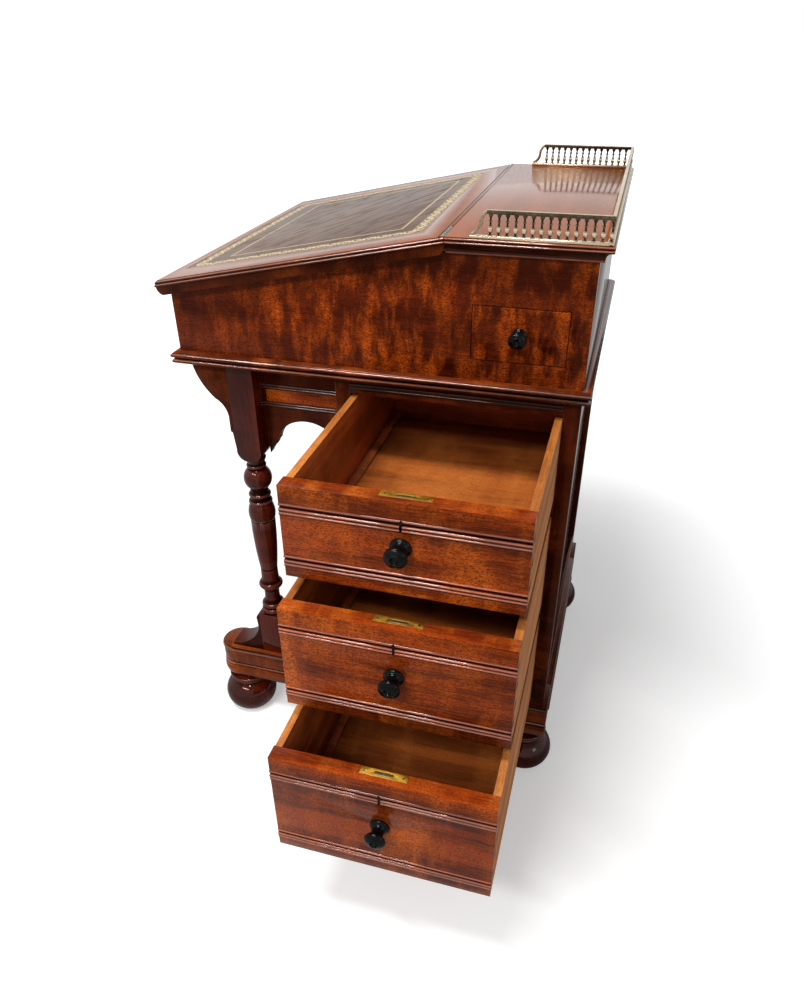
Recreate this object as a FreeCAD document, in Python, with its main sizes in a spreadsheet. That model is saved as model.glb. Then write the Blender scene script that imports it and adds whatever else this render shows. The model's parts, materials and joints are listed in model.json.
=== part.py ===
"""Davenport desk: a sloped writing case on a drawer pedestal, with turned front legs.

Millimetres. X runs across the desk, with the working drawers opening towards +X. Y runs from
the writer (-Y) to the back (+Y). Z is up from the floor, and the origin is on the floor under
the middle of the top. The three pedestal drawers are modelled drawn out, the lid closed.
"""
import FreeCAD, Part
import Sketcher
import os
import re

doc = FreeCAD.newDocument("Davenport")
Vector = FreeCAD.Vector

# ---------------------------------------------------------------- driving dimensions
SIZES = {
    # top boards
    "top_width": 534,           # fixed top and lid, across the desk at the upper arris
    "top_depth": 600,           # from the lid's front arris to the back
    "flat_depth": 199.5,        # the fixed flat part behind the lid
    "back_rise": 201,           # flat top above the foot of the case
    "front_rise": 121,          # lid's front arris above the foot of the case
    "board_thick": 21,
    "top_overhang": 14.5,       # of the boards beyond the case
    "front_overhang": 10,       # of the lid's front arris, before its rounded nose
    "edge_bead": 3.8,           # height of each of the two beads on the board edges
    "edge_cove": 9,             # how far the fixed top's edge is coved in below its beads
    "lid_lip": 2,               # set-back of the flat below the lid's beads
    "lid_heel": 8,              # rounded lower corner at the back of the lid
    "joint_gap": 0.5,           # between the lid and the fixed top
    "lid_seat": 0.1,            # lid above the case edges
    "leather_front": 17,        # wood margins round the leather
    "leather_back": 42,
    "leather_side": 52,
    "leather_thick": 1.2,
    "leather_fit": 0.2,         # gap round the leather in its recess
    # lid hinges
    "knuckle_radius": 3.25,
    "hinge_long": 38,
    "hinge_inset": 15,          # from the side of the lid to the hinge
    "leaf_thick": 1.6,
    "leaf_high": 17,
    "pin_radius": 1.1,
    "hinge_play": 0.35,         # wood clear of the knuckles
    "pin_play": 0.05,
    "pin_clear": 0.3,           # bore of the moving leaf round the pin
    # writing case
    "case_wall": 14,
    "case_floor": 12,
    "waist_high": 18,           # moulding round the foot of the case
    "waist_out": 12.5,
    # pen drawer, in the right side of the case
    "pen_width": 123.5,
    "pen_high": 72,
    "pen_rise": 46,             # opening above the foot of the case
    "pen_margin": 26,           # opening in from the back of the case
    "pen_long": 236,
    "pen_wall": 6,
    "pen_gap": 0.5,
    # pedestal
    "pedestal_set": 2.5,        # pedestal sides in from the case's sides
    "knee_deep": 245,           # from the lid's front arris to the pedestal
    "post": 22,
    "post_deep": 30,            # posts, across the desk
    "rail_deep": 45,
    "top_rail": 22.5,
    "upper_divider": 22.5,
    "lower_divider": 25,
    "bottom_rail": 16,
    "drawer_1_high": 130,       # openings, from the top down
    "drawer_2_high": 161.5,
    "drawer_3_high": 176.5,
    "front_panel_thick": 12,
    "front_panel_sunk": 2,
    "back_panel_thick": 8,
    "back_panel_sunk": 10,
    "back_rail_high": 42,
    "runner_high": 16,
    "runner_wide": 12,          # bearing under each drawer side
    "guide_high": 12,           # guide strips above the bearers
    # drawers
    "drawer_long": 450,
    "drawer_front": 21,
    "drawer_side": 10,
    "drawer_gap": 0.75,
    "drawer_run": 0.3,          # sides above their runners
    "side_drop": 3,             # sides below the top of the front
    "drawer_floor": 7,
    "floor_rise": 8,
    "drawer_back": 9,
    "back_drop": 12,            # back below the sides
    "slip_wide": 13,
    "slip_high": 19,
    "slip_groove": 5,
    "groove_play": 0.2,
    "drawer_1_out": 261,        # drawn out by
    "drawer_2_out": 296.5,
    "drawer_3_out": 369,
    "band_top": 23.5,           # plain band above the upper reeds
    "band_bottom": 14.5,
    "reed_small": 4,            # each moulding is a small reed, a quirk and two reeds
    "reed_quirk": 2.6,
    "reed": 5,
    "knob_rise": 5,             # above the middle of the front
    # drawer locks
    "lock_long": 62,
    "lock_shift": 2.5,          # lock behind the middle of its drawer
    "lock_wide": 12,
    "lock_plate": 2,
    "lock_case_long": 48,
    "lock_case_high": 34,
    "bolt_long": 24,
    "bolt_thick": 5,
    "bolt_high": 18,
    "bolt_play": 0.3,
    "bolt_throw": 7,
    "key_radius": 2.6,
    "key_slot": 3,
    "key_drop": 11,
    "dummy_thick": 14,
    # knobs
    "knob_radius": 13.5,
    "knob_long": 30,
    "knob_neck": 7,
    "knob_foot": 13,
    "spigot_radius": 6,
    "spigot_long": 8,
    "spigot_play": 0.1,
    "pen_knob_scale": 0.8,
    # base
    "foot_high": 80,
    "dowel_radius": 10,
    "dowel_long": 25,
    "dowel_play": 0.2,
    "foot_neck": 28,
    "foot_collar": 36,
    "foot_sole": 30,
    "base_thick": 73,
    "base_out": 7,              # beyond the pedestal
    "arm_wide": 62,
    "arm_reach": 14,            # arms beyond the front of the top
    "base_round": 9,            # undercut at the foot of the base edge
    "base_floor_thick": 10,
    "base_rail_wide": 50,
    "base_front_out": 10,       # front rail beyond the pedestal front
    "front_foot": 26,           # foot centres in from the ends of the top
    "back_foot": 42,
    # legs
    "leg_inset": 95,            # leg centre behind the front of the top
    "leg_square": 40,
    "leg_foot": 85,             # height of the lower square
    "leg_block": 159,           # height of the upper square
    "apron_thick": 16,
    "apron_inset": 14,          # apron's outer face inside the leg's centre line
    "arch_high": 96,            # apron from the foot of the case down to the arch
    "arch_half": 48,
    "arch_rise": 36,
    "panel_bead_top": 39,       # upper panel bead below the foot of the case
    "panel_bead_low": 68,
    "panel_bead": 4,
    "reed_ground": 0.8,         # thickness of a planted strip between its reeds
    # brass gallery
    "gallery_inset": 5,
    "gallery_front": 31.5,      # front end behind the joint of the top
    "gallery_high": 32,
    "gallery_foot": 7,
    "gallery_foot_thick": 3,
    "gallery_rail": 4.5,
    "gallery_scroll": 19,       # top rail starts behind the foot by
    "spindle_pitch": 9.3,
    "spindle_radius": 2.4,
}

sheet = doc.addObject("Spreadsheet::Sheet", "Sizes")
for row, (alias, number) in enumerate(SIZES.items(), 1):
    sheet.set(f"A{row}", alias)
    sheet.set(f"B{row}", str(number))
    sheet.setAlias(f"B{row}", alias)
doc.recompute()

# ---------------------------------------------------------------- places worked out from them
PLACES = {
    "half_top": "top_width/2",
    "top_back": "top_depth/2",
    "top_front": "0 - top_depth/2",
    "joint_y": "top_back - flat_depth",
    "case_half": "half_top - top_overhang",
    "case_back": "top_back - top_overhang",
    "case_front": "top_front + front_overhang",
    "pedestal_half": "case_half - pedestal_set",
    "pedestal_back": "case_back",
    "pedestal_front": "top_front + knee_deep",
    "open_front": "pedestal_front + post",
    "open_back": "pedestal_back - post",
    "open_middle": "(open_front + open_back)/2",
    "lock_y": "open_middle + lock_shift",
    "base_top": "foot_high + base_thick",
    "open_3": "base_top + bottom_rail",
    "divider_2": "open_3 + drawer_3_high",
    "open_2": "divider_2 + lower_divider",
    "divider_1": "open_2 + drawer_2_high",
    "open_1": "divider_1 + upper_divider",
    "top_rail_low": "open_1 + drawer_1_high",
    "case_foot": "top_rail_low + top_rail",
    "flat_z": "case_foot + back_rise",
    "slope_run": "top_depth - flat_depth",
    "slope_rise": "back_rise - front_rise",
    "slope": "atan(slope_rise/slope_run)",
    "lid_long": "hypot(slope_run; slope_rise)",
    "case_top": "flat_z - board_thick",
    "axis_y": "joint_y - knuckle_radius",
    "axis_z": "flat_z - knuckle_radius",
    "pen_low": "case_foot + pen_rise",
    "pen_back": "case_back - pen_margin",
    "pen_front": "pen_back - pen_width",
    "arm_x": "pedestal_half + base_out - arm_wide/2",
    "base_back": "pedestal_back + base_out",
    "base_front": "pedestal_front - base_front_out",
    "foot_y_front": "top_front + front_foot",
    "foot_y_back": "top_back - back_foot",
    "arm_round_y": "top_front - arm_reach + arm_wide/2",
    "leg_y": "top_front + leg_inset",
    "leg_back": "leg_y + leg_square/2",
    "leg_front": "leg_y - leg_square/2",
    "turn": "leg_square/40",
    "leg_turn_low": "base_top + leg_foot",
    "leg_turn_top": "case_foot - leg_block",
    "apron_face": "arm_x - apron_inset",
    "arch_y": "(leg_back + pedestal_front)/2",
    "front_panel_back": "pedestal_front + front_panel_sunk + front_panel_thick",
    "back_panel_front": "pedestal_back - back_panel_sunk - back_panel_thick",
    "gallery_x": "half_top - gallery_inset",
    "gallery_back": "top_back - gallery_inset",
    "gallery_y": "joint_y + gallery_front",
    "gallery_top": "flat_z + gallery_high",
    "rail_low": "gallery_top - gallery_rail",
    "foot_top": "flat_z + gallery_foot_thick",
}


def tied(text):
    """Turn plain names into references to the sheet's cells."""
    def swap(found):
        word = found.group()
        if word in SIZES:
            return "Sizes." + word
        if word in PLACES:
            return "(" + tied(PLACES[word]) + ")"
        return word
    return re.sub(r"[a-z][a-z_0-9]*", swap, str(text))


def value(text):
    """The number that an expression gives now."""
    number = sheet.evalExpression(tied(text))
    return number.Value if hasattr(number, "Value") else float(number)


# ---------------------------------------------------------------- helpers
NODES = {}


def node(label, item):
    """Give a finished sub-part its own name."""
    item.Label = label
    NODES[label] = item
    return item


def bind(item, **sizes):
    for key, text in sizes.items():
        item.setExpression(key, tied(text))
    return item


def place(item, x="0", y="0", z="0"):
    for axis, text in zip("xyz", (x, y, z)):
        item.setExpression(f"Placement.Base.{axis}", tied(text))
    return item


def tilted(item):
    """Lay a piece drawn flat at the joint onto the slope of the lid."""
    turn = FreeCAD.Rotation(Vector(1, 0, 0), value("slope"))
    item.Placement = FreeCAD.Placement(Vector(), turn)
    item.setExpression("Placement.Rotation.Angle", tied("slope"))
    return place(item, "0", "joint_y", "flat_z")


def pointed(item, axis):
    """Turn a piece drawn along Z to run along another axis."""
    turn = FreeCAD.Rotation(Vector(0, 0, 1), Vector(*axis))
    item.Placement = FreeCAD.Placement(Vector(), turn)
    return item


def block(name, low, high):
    """A box between two corners."""
    wide, deep, tall = (f"({b}) - ({a})" for a, b in zip(low, high))
    box = bind(doc.addObject("Part::Box", name), Length=wide, Width=deep, Height=tall)
    return place(box, *low)


def rod(name, start, radius, length, axis=(0, 0, 1)):
    """A cylinder from the middle of its low end."""
    bar = bind(doc.addObject("Part::Cylinder", name), Radius=radius, Height=length)
    return place(pointed(bar, axis), *start)


def fuse(name, *items):
    joined = doc.addObject("Part::MultiFuse", name)
    joined.Shapes = list(items)
    return joined


def cut(name, base, *tools):
    carved = doc.addObject("Part::Cut", name)
    carved.Base = base
    carved.Tool = tools[0] if len(tools) == 1 else fuse(name + "_tools", *tools)
    return carved


def common(name, *items):
    shared = doc.addObject("Part::MultiCommon", name)
    shared.Shapes = list(items)
    return shared


def group(name, *items):
    """Separate solids that share one node."""
    together = doc.addObject("Part::Compound", name)
    together.Links = list(items)
    return together


def mirrored(name, item):
    """The left-hand partner of a right-hand piece."""
    other = doc.addObject("Part::Mirroring", name)
    other.Source = item
    other.Normal = Vector(1, 0, 0)
    return other


def draw(body, plane, outline, offset="0"):
    """Sketch a closed outline, run clockwise, on one of the body's own planes.

    Each point is (across, up), or (across, up, bulge) where the edge that leaves it is an
    arc: bulge is the arc's height over half its chord, above 0 outwards and below 0 inwards.
    """
    sketch = body.newObject("Sketcher::SketchObject", body.Name + "_outline")
    support = next(f for f in body.Origin.OriginFeatures if f.Role == plane)
    sketch.AttachmentSupport = [(support, "")]
    sketch.MapMode = "FlatFace"
    sketch.setExpression("AttachmentOffset.Base.z", tied(offset))
    count = len(outline)
    spots = [Vector(value(point[0]), value(point[1]), 0) for point in outline]
    ends = []
    for index, point in enumerate(outline):
        start, stop = spots[index], spots[(index + 1) % count]
        if len(point) == 2:
            sketch.addGeometry(Part.LineSegment(start, stop), False)
        else:
            outward = Vector(start.y - stop.y, stop.x - start.x, 0)
            crown = (start + stop)/2 + outward*(point[2]/2)
            sketch.addGeometry(Part.Arc(start, crown, stop), False)
        forward = sketch.getPoint(index, 1).distanceToPoint(start) < 1e-6
        ends.append((1, 2) if forward else (2, 1))
    for index, point in enumerate(outline):
        before = (index - 1) % count
        joint = ("Coincident", before, ends[before][1], index, ends[index][0])
        sketch.addConstraint(Sketcher.Constraint(*joint))
        hold(sketch, "DistanceX", index, ends[index][0], spots[index].x, point[0])
        hold(sketch, "DistanceY", index, ends[index][0], spots[index].y, point[1])
    for index, point in enumerate(outline):
        if len(point) == 3:
            hold_arc(sketch, index, outline[index], outline[(index + 1) % count])
    return sketch


def hold(sketch, kind, edge, end, number, text):
    """Hold one coordinate of a point to an expression."""
    index = sketch.addConstraint(Sketcher.Constraint(kind, -1, 1, edge, end, number))
    sketch.setExpression(f"Constraints[{index}]", tied(text))


def hold_arc(sketch, edge, start, stop):
    """Hold an arc's centre, on the axis along which its ends leave it free."""
    (x0, y0, bulge), (x1, y1) = start, stop[:2]
    lean = (1 - bulge**2)/(4*bulge)
    centre = sketch.getPoint(edge, 3)
    if abs(value(f"({y1}) - ({y0})")) >= abs(value(f"({x1}) - ({x0})")):
        spot = f"(({x0}) + ({x1}))/2 + (({y1}) - ({y0}))*({lean})"
        hold(sketch, "DistanceX", edge, 3, centre.x, spot)
    else:
        spot = f"(({y0}) + ({y1}))/2 - (({x1}) - ({x0}))*({lean})"
        hold(sketch, "DistanceY", edge, 3, centre.y, spot)


def padded(name, plane, outline, start, length):
    body = doc.addObject("PartDesign::Body", name)
    sketch = draw(body, plane, outline, start)
    pad = body.newObject("PartDesign::Pad", name + "_pad")
    pad.Profile = sketch
    bind(pad, Length=length)
    return body


def along_x(name, outline, low, high):
    """A straight length of an outline in Y and Z."""
    return padded(name, "YZ_Plane", outline, low, f"({high}) - ({low})")


def along_y(name, outline, low, high):
    """A straight length of an outline in X and Z."""
    return padded(name, "XZ_Plane", outline, f"0 - ({high})", f"({high}) - ({low})")


def along_z(name, outline, low, high):
    """A flat piece with an outline in X and Y."""
    return padded(name, "XY_Plane", outline, low, f"({high}) - ({low})")


def turned(name, outline, sweep=360):
    """A turning about Z: the outline gives radius and height from the top down."""
    body = doc.addObject("PartDesign::Body", name)
    ends = [("0", outline[0][1])], [("0", outline[-1][1])]
    sketch = draw(body, "XZ_Plane", ends[0] + outline + ends[1])
    spin = body.newObject("PartDesign::Revolution", name + "_spin")
    spin.Profile = sketch
    spin.ReferenceAxis = (sketch, ["V_Axis"])
    spin.Angle = sweep
    return body


def edge(face, side, top, profile):
    """One side of an outline, moulded to steps out from a face and down from its top.

    The right side (1) runs down and the left side (-1) runs up, as a clockwise outline does.
    """
    spots = [(f"{face} + ({side})*({step[0]})", f"{top} - ({step[1]})") for step in profile]
    bulges = [step[2:] for step in profile]
    if side < 0:
        spots.reverse()
        bulges = bulges[-2::-1] + [()]
    return [spot + tuple(bulge) for spot, bulge in zip(spots, bulges)]


def plain(thickness):
    return [("0", "0"), ("0", thickness)]


def on_slope(back, up):
    """Y and Z of a point given along the lid from the joint and square to its surface."""
    y = f"joint_y + ({back})*cos(slope) - ({up})*sin(slope)"
    z = f"flat_z + ({back})*sin(slope) + ({up})*cos(slope)"
    return y, z


def under_lid(y):
    """Height of the case's sloped edge at y."""
    return f"flat_z - (joint_y - ({y}))*tan(slope) - (board_thick + lid_seat)/cos(slope)"


# ---------------------------------------------------------------- base and feet
BASE_EDGE = [("-2.5", "0"), ("-2.5", "1.2"), ("-1", "1.2", 0.5), ("0", "8"), ("0", "33"),
             ("-2", "34"), ("-2", "35"), ("-1.5", "36", 0.8), ("-1.5", "41"), ("-2", "42"),
             ("-2", "43"), ("1", "44"), ("1", "48", 0.35), ("0 - base_round", "base_thick")]


def build_base():
    """Side members that run forward as round-ended arms, with rails and a floor between."""
    outer = "arm_x + arm_wide/2"
    inner = "arm_x - arm_wide/2"
    moulded = edge(outer, 1, "base_top", BASE_EDGE)
    free = moulded + edge(inner, -1, "base_top", BASE_EDGE)
    joined = moulded + edge(inner, -1, "base_top", plain("base_thick"))
    rear = edge("base_back", 1, "base_top", BASE_EDGE)
    rear += edge("base_front", -1, "base_top", plain("base_thick"))
    length = common("arm_rear", along_y("arm_length", joined, "base_front", "base_back"),
                    along_x("arm_end", rear, "0", "2*arm_x"))
    nose = turned("arm_nose", edge("arm_wide/2", 1, "base_top", BASE_EDGE), 180)
    nose.Placement = FreeCAD.Placement(Vector(), FreeCAD.Rotation(Vector(0, 0, 1), 180))
    member = fuse("arm", length, along_y("arm_free", free, "arm_round_y", "base_front"),
                  place(nose, "arm_x", "arm_round_y", "0"))
    sockets = [rod(f"socket_{spot}", ("arm_x", spot, "foot_high"), "dowel_radius", "dowel_long")
               for spot in ("foot_y_front", "foot_y_back")]
    right = node("base_side_right", cut("base_member", member, *sockets))
    left = node("base_side_left", mirrored("base_member_left", right))
    reach = "arm_x - arm_wide/2"
    back = edge("base_back", 1, "base_top", BASE_EDGE)
    back += edge("base_back - base_rail_wide", -1, "base_top", plain("base_thick"))
    front = edge("base_front + base_rail_wide", 1, "base_top", plain("base_thick"))
    front += edge("base_front", -1, "base_top", BASE_EDGE)
    front_bar = along_x("base_front_bar", front, f"0 - ({reach})", reach)
    node("base_cross_rails", group("base_rails", cut("base_front_rail", front_bar, right, left),
                                   along_x("base_back_bar", back, f"0 - ({reach})", reach)))
    node("base_floor", block("base_board",
         (f"0 - ({reach})", "base_front + base_rail_wide", "base_top - base_floor_thick"),
         (reach, "base_back - base_rail_wide", "base_top")))


def build_feet():
    """Bun feet: a flattened ball under two collars, doweled up into the base."""
    shape = [("dowel_radius - dowel_play", "foot_high + dowel_long - 1"),
             ("dowel_radius - dowel_play", "foot_high"),
             ("foot_collar - 3", "foot_high"), ("foot_collar - 3", "foot_high - 1", 0.8),
             ("foot_collar - 3", "foot_high - 8"), ("foot_neck", "foot_high - 9"),
             ("foot_neck", "foot_high - 10.5"), ("foot_neck + 1", "foot_high - 11", 0.8),
             ("foot_neck + 1", "foot_high - 17"), ("foot_neck", "foot_high - 18", 0.6),
             ("foot_sole", "0")]
    feet = []
    for label, spot in (("front", "foot_y_front"), ("back", "foot_y_back")):
        right = place(turned(f"foot_{label}", shape), "arm_x", spot, "0")
        feet += [right, mirrored(f"foot_{label}_left", right)]
    node("bun_feet", group("foot_set", *feet))


# ---------------------------------------------------------------- legs and aprons
def leg_turning():
    """The turned length between the squares, from the upper square down."""
    top = lambda down: f"leg_turn_top - {down}*turn"
    low = lambda up: f"leg_turn_low + {up}*turn"
    shape = [
        ("17", top("0")), ("13.5", top("9")), ("13.5", top("11"), 0.8), ("13.5", top("17")),
        ("14", top("19"), 0.48), ("14", top("55")), ("14.5", top("57")), ("14.5", top("62")),
        ("16", top("64"), 0.7), ("16", top("70")), ("15.5", top("72")), ("15.5", top("76")),
        ("17.5", top("77"), 0.6), ("17.5", top("83")), ("18.4", top("85"), 0.18),
        ("20.4", top("113")), ("19.4", top("114")), ("20.2", top("115"), 0.03),
        ("14.6", top("213")), ("13.8", top("214")), ("14.4", top("216")),
        ("15", low("70")), ("16", low("67"), 0.75), ("16", low("55")),
        ("14.5", low("53"), -0.12), ("14.5", low("25")),
        ("16", low("23"), 0.75), ("16", low("14")), ("16.6", low("12"), 0.75),
        ("16.6", low("2")), ("16.6", low("0"))]
    return [(f"{radius}*turn", *rest) for radius, *rest in shape]


def build_legs():
    """Turned legs with a square left at each end, and shaped brackets glued to the squares."""
    x_low, x_high = "arm_x - leg_square/2", "arm_x + leg_square/2"
    block_shape = [("leg_front", "case_foot"), ("leg_back", "case_foot"),
                   ("leg_back", "leg_turn_top + leg_square/2", 0.4),
                   ("leg_back - 14*turn", "leg_turn_top"),
                   ("leg_front + 14*turn", "leg_turn_top", 0.4),
                   ("leg_front", "leg_turn_top + leg_square/2")]
    shaft = place(turned("leg_shaft", leg_turning()), "arm_x", "leg_y", "0")
    foot = block("leg_foot_square", (x_low, "leg_front", "base_top"),
                 (x_high, "leg_back", "leg_turn_low"))
    leg = node("leg_right", fuse("leg", along_x("leg_block", block_shape, x_low, x_high),
                                 shaft, foot))
    node("leg_left", mirrored("leg_left_side", leg))
    out = lambda step: f"leg_front - {step}*turn"
    down = lambda step: f"case_foot - {step}*turn"
    upper = [(out("56"), down("0")), (out("0"), down("0")), (out("0"), down("139")),
             (out("3"), down("111")), (out("6"), down("109")), (out("6"), down("86"), -0.27),
             (out("24"), down("57"), 0.12), (out("51"), down("17"))]
    up = lambda step: f"base_top + {step}*turn"
    lower = [(out("0"), up("84")), (out("0"), up("0")), (out("62"), up("0")),
             (out("61"), up("7"), -0.34), (out("5.5"), up("52")), (out("6.5"), up("70"), 0.3),
             (out("4"), up("82"))]
    for label, shape in (("upper", upper), ("lower", lower)):
        right = along_x(f"bracket_{label}", shape, x_low, x_high)
        node(f"leg_brackets_{label}", group(f"brackets_{label}", right,
                                            mirrored(f"bracket_{label}_left", right)))


def reeds(face, top, count, pitch):
    """Outline of a strip of half-round reeds planted on a face."""
    proud, low = f"{face} + reed_ground", f"{top} - {count}*{pitch}"
    crests = [(proud, f"{top} - {step}*{pitch}", 0.8) for step in range(count)]
    return [(face, top)] + crests + [(proud, low), (face, low)]


def build_aprons():
    """Arched boards from the legs to the pedestal, with beads above and below a panel."""
    at = lambda across, down: (f"arch_y + {across}", f"case_foot - {down}")
    half_span = "(pedestal_front - leg_back)/2"
    reach = f"({half_span} + front_panel_sunk)"
    shape = [at(f"(0 - {half_span})", "0"), at(reach, "0"),
             at(reach, "(arch_high + 62)"), (*at("(arch_half + 11)", "(arch_high + 50)"), 0.3),
             at("(arch_half + 4)", "(arch_high + arch_rise + 3)"),
             (*at("arch_half", "(arch_high + arch_rise)"), -0.2),
             (*at("(arch_half - 20)", "(arch_high + 7)"), -0.26),
             (*at("(20 - arch_half)", "(arch_high + 7)"), -0.2),
             at("(0 - arch_half)", "(arch_high + arch_rise)"),
             (*at("(0 - arch_half - 4)", "(arch_high + arch_rise + 3)"), 0.3),
             at("(0 - arch_half - 11)", "(arch_high + 50)"),
             at(f"(0 - {half_span})", "(arch_high + 62)")]
    right = node("apron_right", along_x("apron", shape, "apron_face - apron_thick", "apron_face"))
    node("apron_left", mirrored("apron_left_side", right))
    strips = []
    for label, drop in (("upper", "panel_bead_top"), ("lower", "panel_bead_low")):
        outline = reeds("apron_face", f"case_foot - {drop}", 2, "panel_bead")
        strip = along_y(f"apron_bead_{label}", outline, "leg_back",
                        "pedestal_front + front_panel_sunk")
        strips += [strip, mirrored(f"apron_bead_{label}_left", strip)]
    node("apron_beads", group("apron_bead_strips", *strips))


# ---------------------------------------------------------------- pedestal
def build_pedestal():
    """Four posts, rails between them on each side, and panels front and back."""
    posts = []
    for label, low, high in (("front", "pedestal_front", "open_front"),
                             ("back", "open_back", "pedestal_back")):
        right = block(f"post_{label}", ("pedestal_half - post_deep", low, "base_top"),
                      ("pedestal_half", high, "case_foot"))
        posts += [right, mirrored(f"post_{label}_left", right)]
    node("corner_posts", group("corner_post_set", *posts))
    panel_edge = "pedestal_half - post_deep"
    node("pedestal_front_panel", block("front_board",
         (f"0 - ({panel_edge})", "pedestal_front + front_panel_sunk", "base_top"),
         (panel_edge, "front_panel_back", "case_foot")))
    node("pedestal_back_panel", block("back_board",
         (f"0 - ({panel_edge})", "back_panel_front", "base_top + back_rail_high"),
         (panel_edge, "back_panel_front + back_panel_thick", "case_foot - back_rail_high")))
    back_rails = [block(f"back_rail_{label}", (f"0 - ({panel_edge})", "back_panel_front", low),
                        (panel_edge, "pedestal_back", high))
                  for label, low, high in (("top", "case_foot - back_rail_high", "case_foot"),
                                           ("bottom", "base_top", "base_top + back_rail_high"))]
    node("pedestal_back_rails", group("back_rail_pair", *back_rails))


RAILS = (("bottom", "base_top", "open_3"), ("lower", "divider_2", "open_2"),
         ("upper", "divider_1", "open_1"), ("top", "top_rail_low", "case_foot"))


def build_rails():
    """Rails between the drawers: the right-hand ones take the lock bolts."""
    right, left = [], []
    for label, low, high in RAILS:
        rail = block(f"rail_{label}", ("pedestal_half - rail_deep", "open_front", low),
                     ("pedestal_half", "open_back", high))
        left.append(mirrored(f"rail_{label}_left", rail))
        if label == "bottom":
            right.append(rail)
            continue
        bolt_x = "pedestal_half - drawer_front + lock_wide/2"
        mortise = block(f"mortise_{label}",
                        (f"{bolt_x} - bolt_thick/2 - 1", "lock_y - bolt_long/2 - 1", low),
                        (f"{bolt_x} + bolt_thick/2 + 1", "lock_y + bolt_long/2 + 1",
                         f"{low} + bolt_throw + 2"))
        right.append(cut(f"rail_{label}_mortised", rail, mortise))
    beads = reeds("pedestal_half", "case_foot - 6", 2, "reed")
    right.append(along_y("top_rail_bead", beads, "open_front", "open_back"))
    left.append(mirrored("top_rail_bead_left", right[-1]))
    node("right_drawer_rails", group("right_rails", *right))
    node("left_drawer_rails", group("left_rails", *left))


def build_runners():
    """A bearer under each drawer side, with a guide beside it that keeps the drawer in line."""
    runners = []
    low_x, high_x = "rail_deep - pedestal_half", "pedestal_half - rail_deep"
    for number in (1, 2, 3):
        run = f"open_{number}"
        under = f"{run} - runner_high"
        bearers = {"front": ("front_panel_back", "open_front + runner_wide"),
                   "back": ("open_back - runner_wide", "back_panel_front")}
        guides = {"front": ("front_panel_back", "open_front"),
                  "back": ("open_back", "back_panel_front")}
        for label in ("front", "back"):
            low, high = bearers[label]
            runners.append(block(f"bearer_{number}_{label}", (low_x, low, under),
                                 (high_x, high, run)))
            low, high = guides[label]
            runners.append(block(f"guide_{number}_{label}", (low_x, low, run),
                                 (high_x, high, f"{run} + guide_high")))
    node("drawer_runners", group("runner_set", *runners))


# ---------------------------------------------------------------- drawer fronts, knobs, locks
REED_STEPS = [("0", "0", 0.8), ("0", "reed_small"), ("-1.8", "reed_small"),
              ("-1.8", "reed_small + reed_quirk"), ("0", "reed_small + reed_quirk", 0.8),
              ("0", "reed_small + reed_quirk + reed", 0.8),
              ("0", "reed_small + reed_quirk + 2*reed")]


def front_outline(face, thickness, low, high):
    """Section of a drawer front: plain bands, two reeded mouldings and the panel between."""
    reeds_high = "(reed_small + reed_quirk + 2*reed)"
    upper = edge(face, 1, f"{high} - band_top", REED_STEPS)
    lower = edge(face, 1, f"{low} + band_bottom + {reeds_high}", REED_STEPS)
    back = f"{face} - {thickness}"
    return [(back, high), (face, high)] + upper + lower + [(face, low), (back, low)]


def knob(name, face, middle, high, size="1"):
    """A turned knob with a stepped head, a waist, a flange and a spigot, pointing to +X."""
    length = f"knob_long*{size}"
    head = f"knob_radius*{size}"
    neck = f"knob_neck*{size}"
    foot = f"knob_foot*{size}"
    spigot = f"spigot_radius*{size} - spigot_play"
    shape = [(f"{head}*0.32", length), (f"{head}*0.4", f"{length} - 1.5*{size}"),
             (f"{head}*0.85", f"{length} - 2.5*{size}", 0.75),
             (f"{head}*0.85", f"{length} - 10*{size}", -0.35),
             (neck, f"{length} - 18*{size}", -0.3), (f"{foot} - 1.5*{size}", f"5*{size}"),
             (foot, f"4.4*{size}", 0.7), (foot, f"1.2*{size}"), (f"{foot} - 1*{size}", "0"),
             (spigot, "0"), (spigot, "0 - spigot_long + 0.5")]
    return place(pointed(turned(name, shape), (1, 0, 0)), face, middle, high)


def knob_bore(name, face, middle, high, size="1"):
    start = (f"{face} - spigot_long", middle, high)
    return rod(name, start, f"spigot_radius*{size}", "spigot_long + 1", (1, 0, 0))


def keyhole(name, face, middle, high):
    """A round eye with a slot below it, cut through to the lock."""
    deep = "drawer_front - lock_wide"
    eye = rod(name + "_eye", (f"{face} - ({deep})", middle, high), "key_radius",
              f"{deep} + 4", (1, 0, 0))
    slot = block(name + "_slot",
                 (f"{face} - ({deep})", f"{middle} - key_slot/2", f"{high} - key_drop"),
                 (f"{face} + 4", f"{middle} + key_slot/2", high))
    return [eye, slot]


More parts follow.
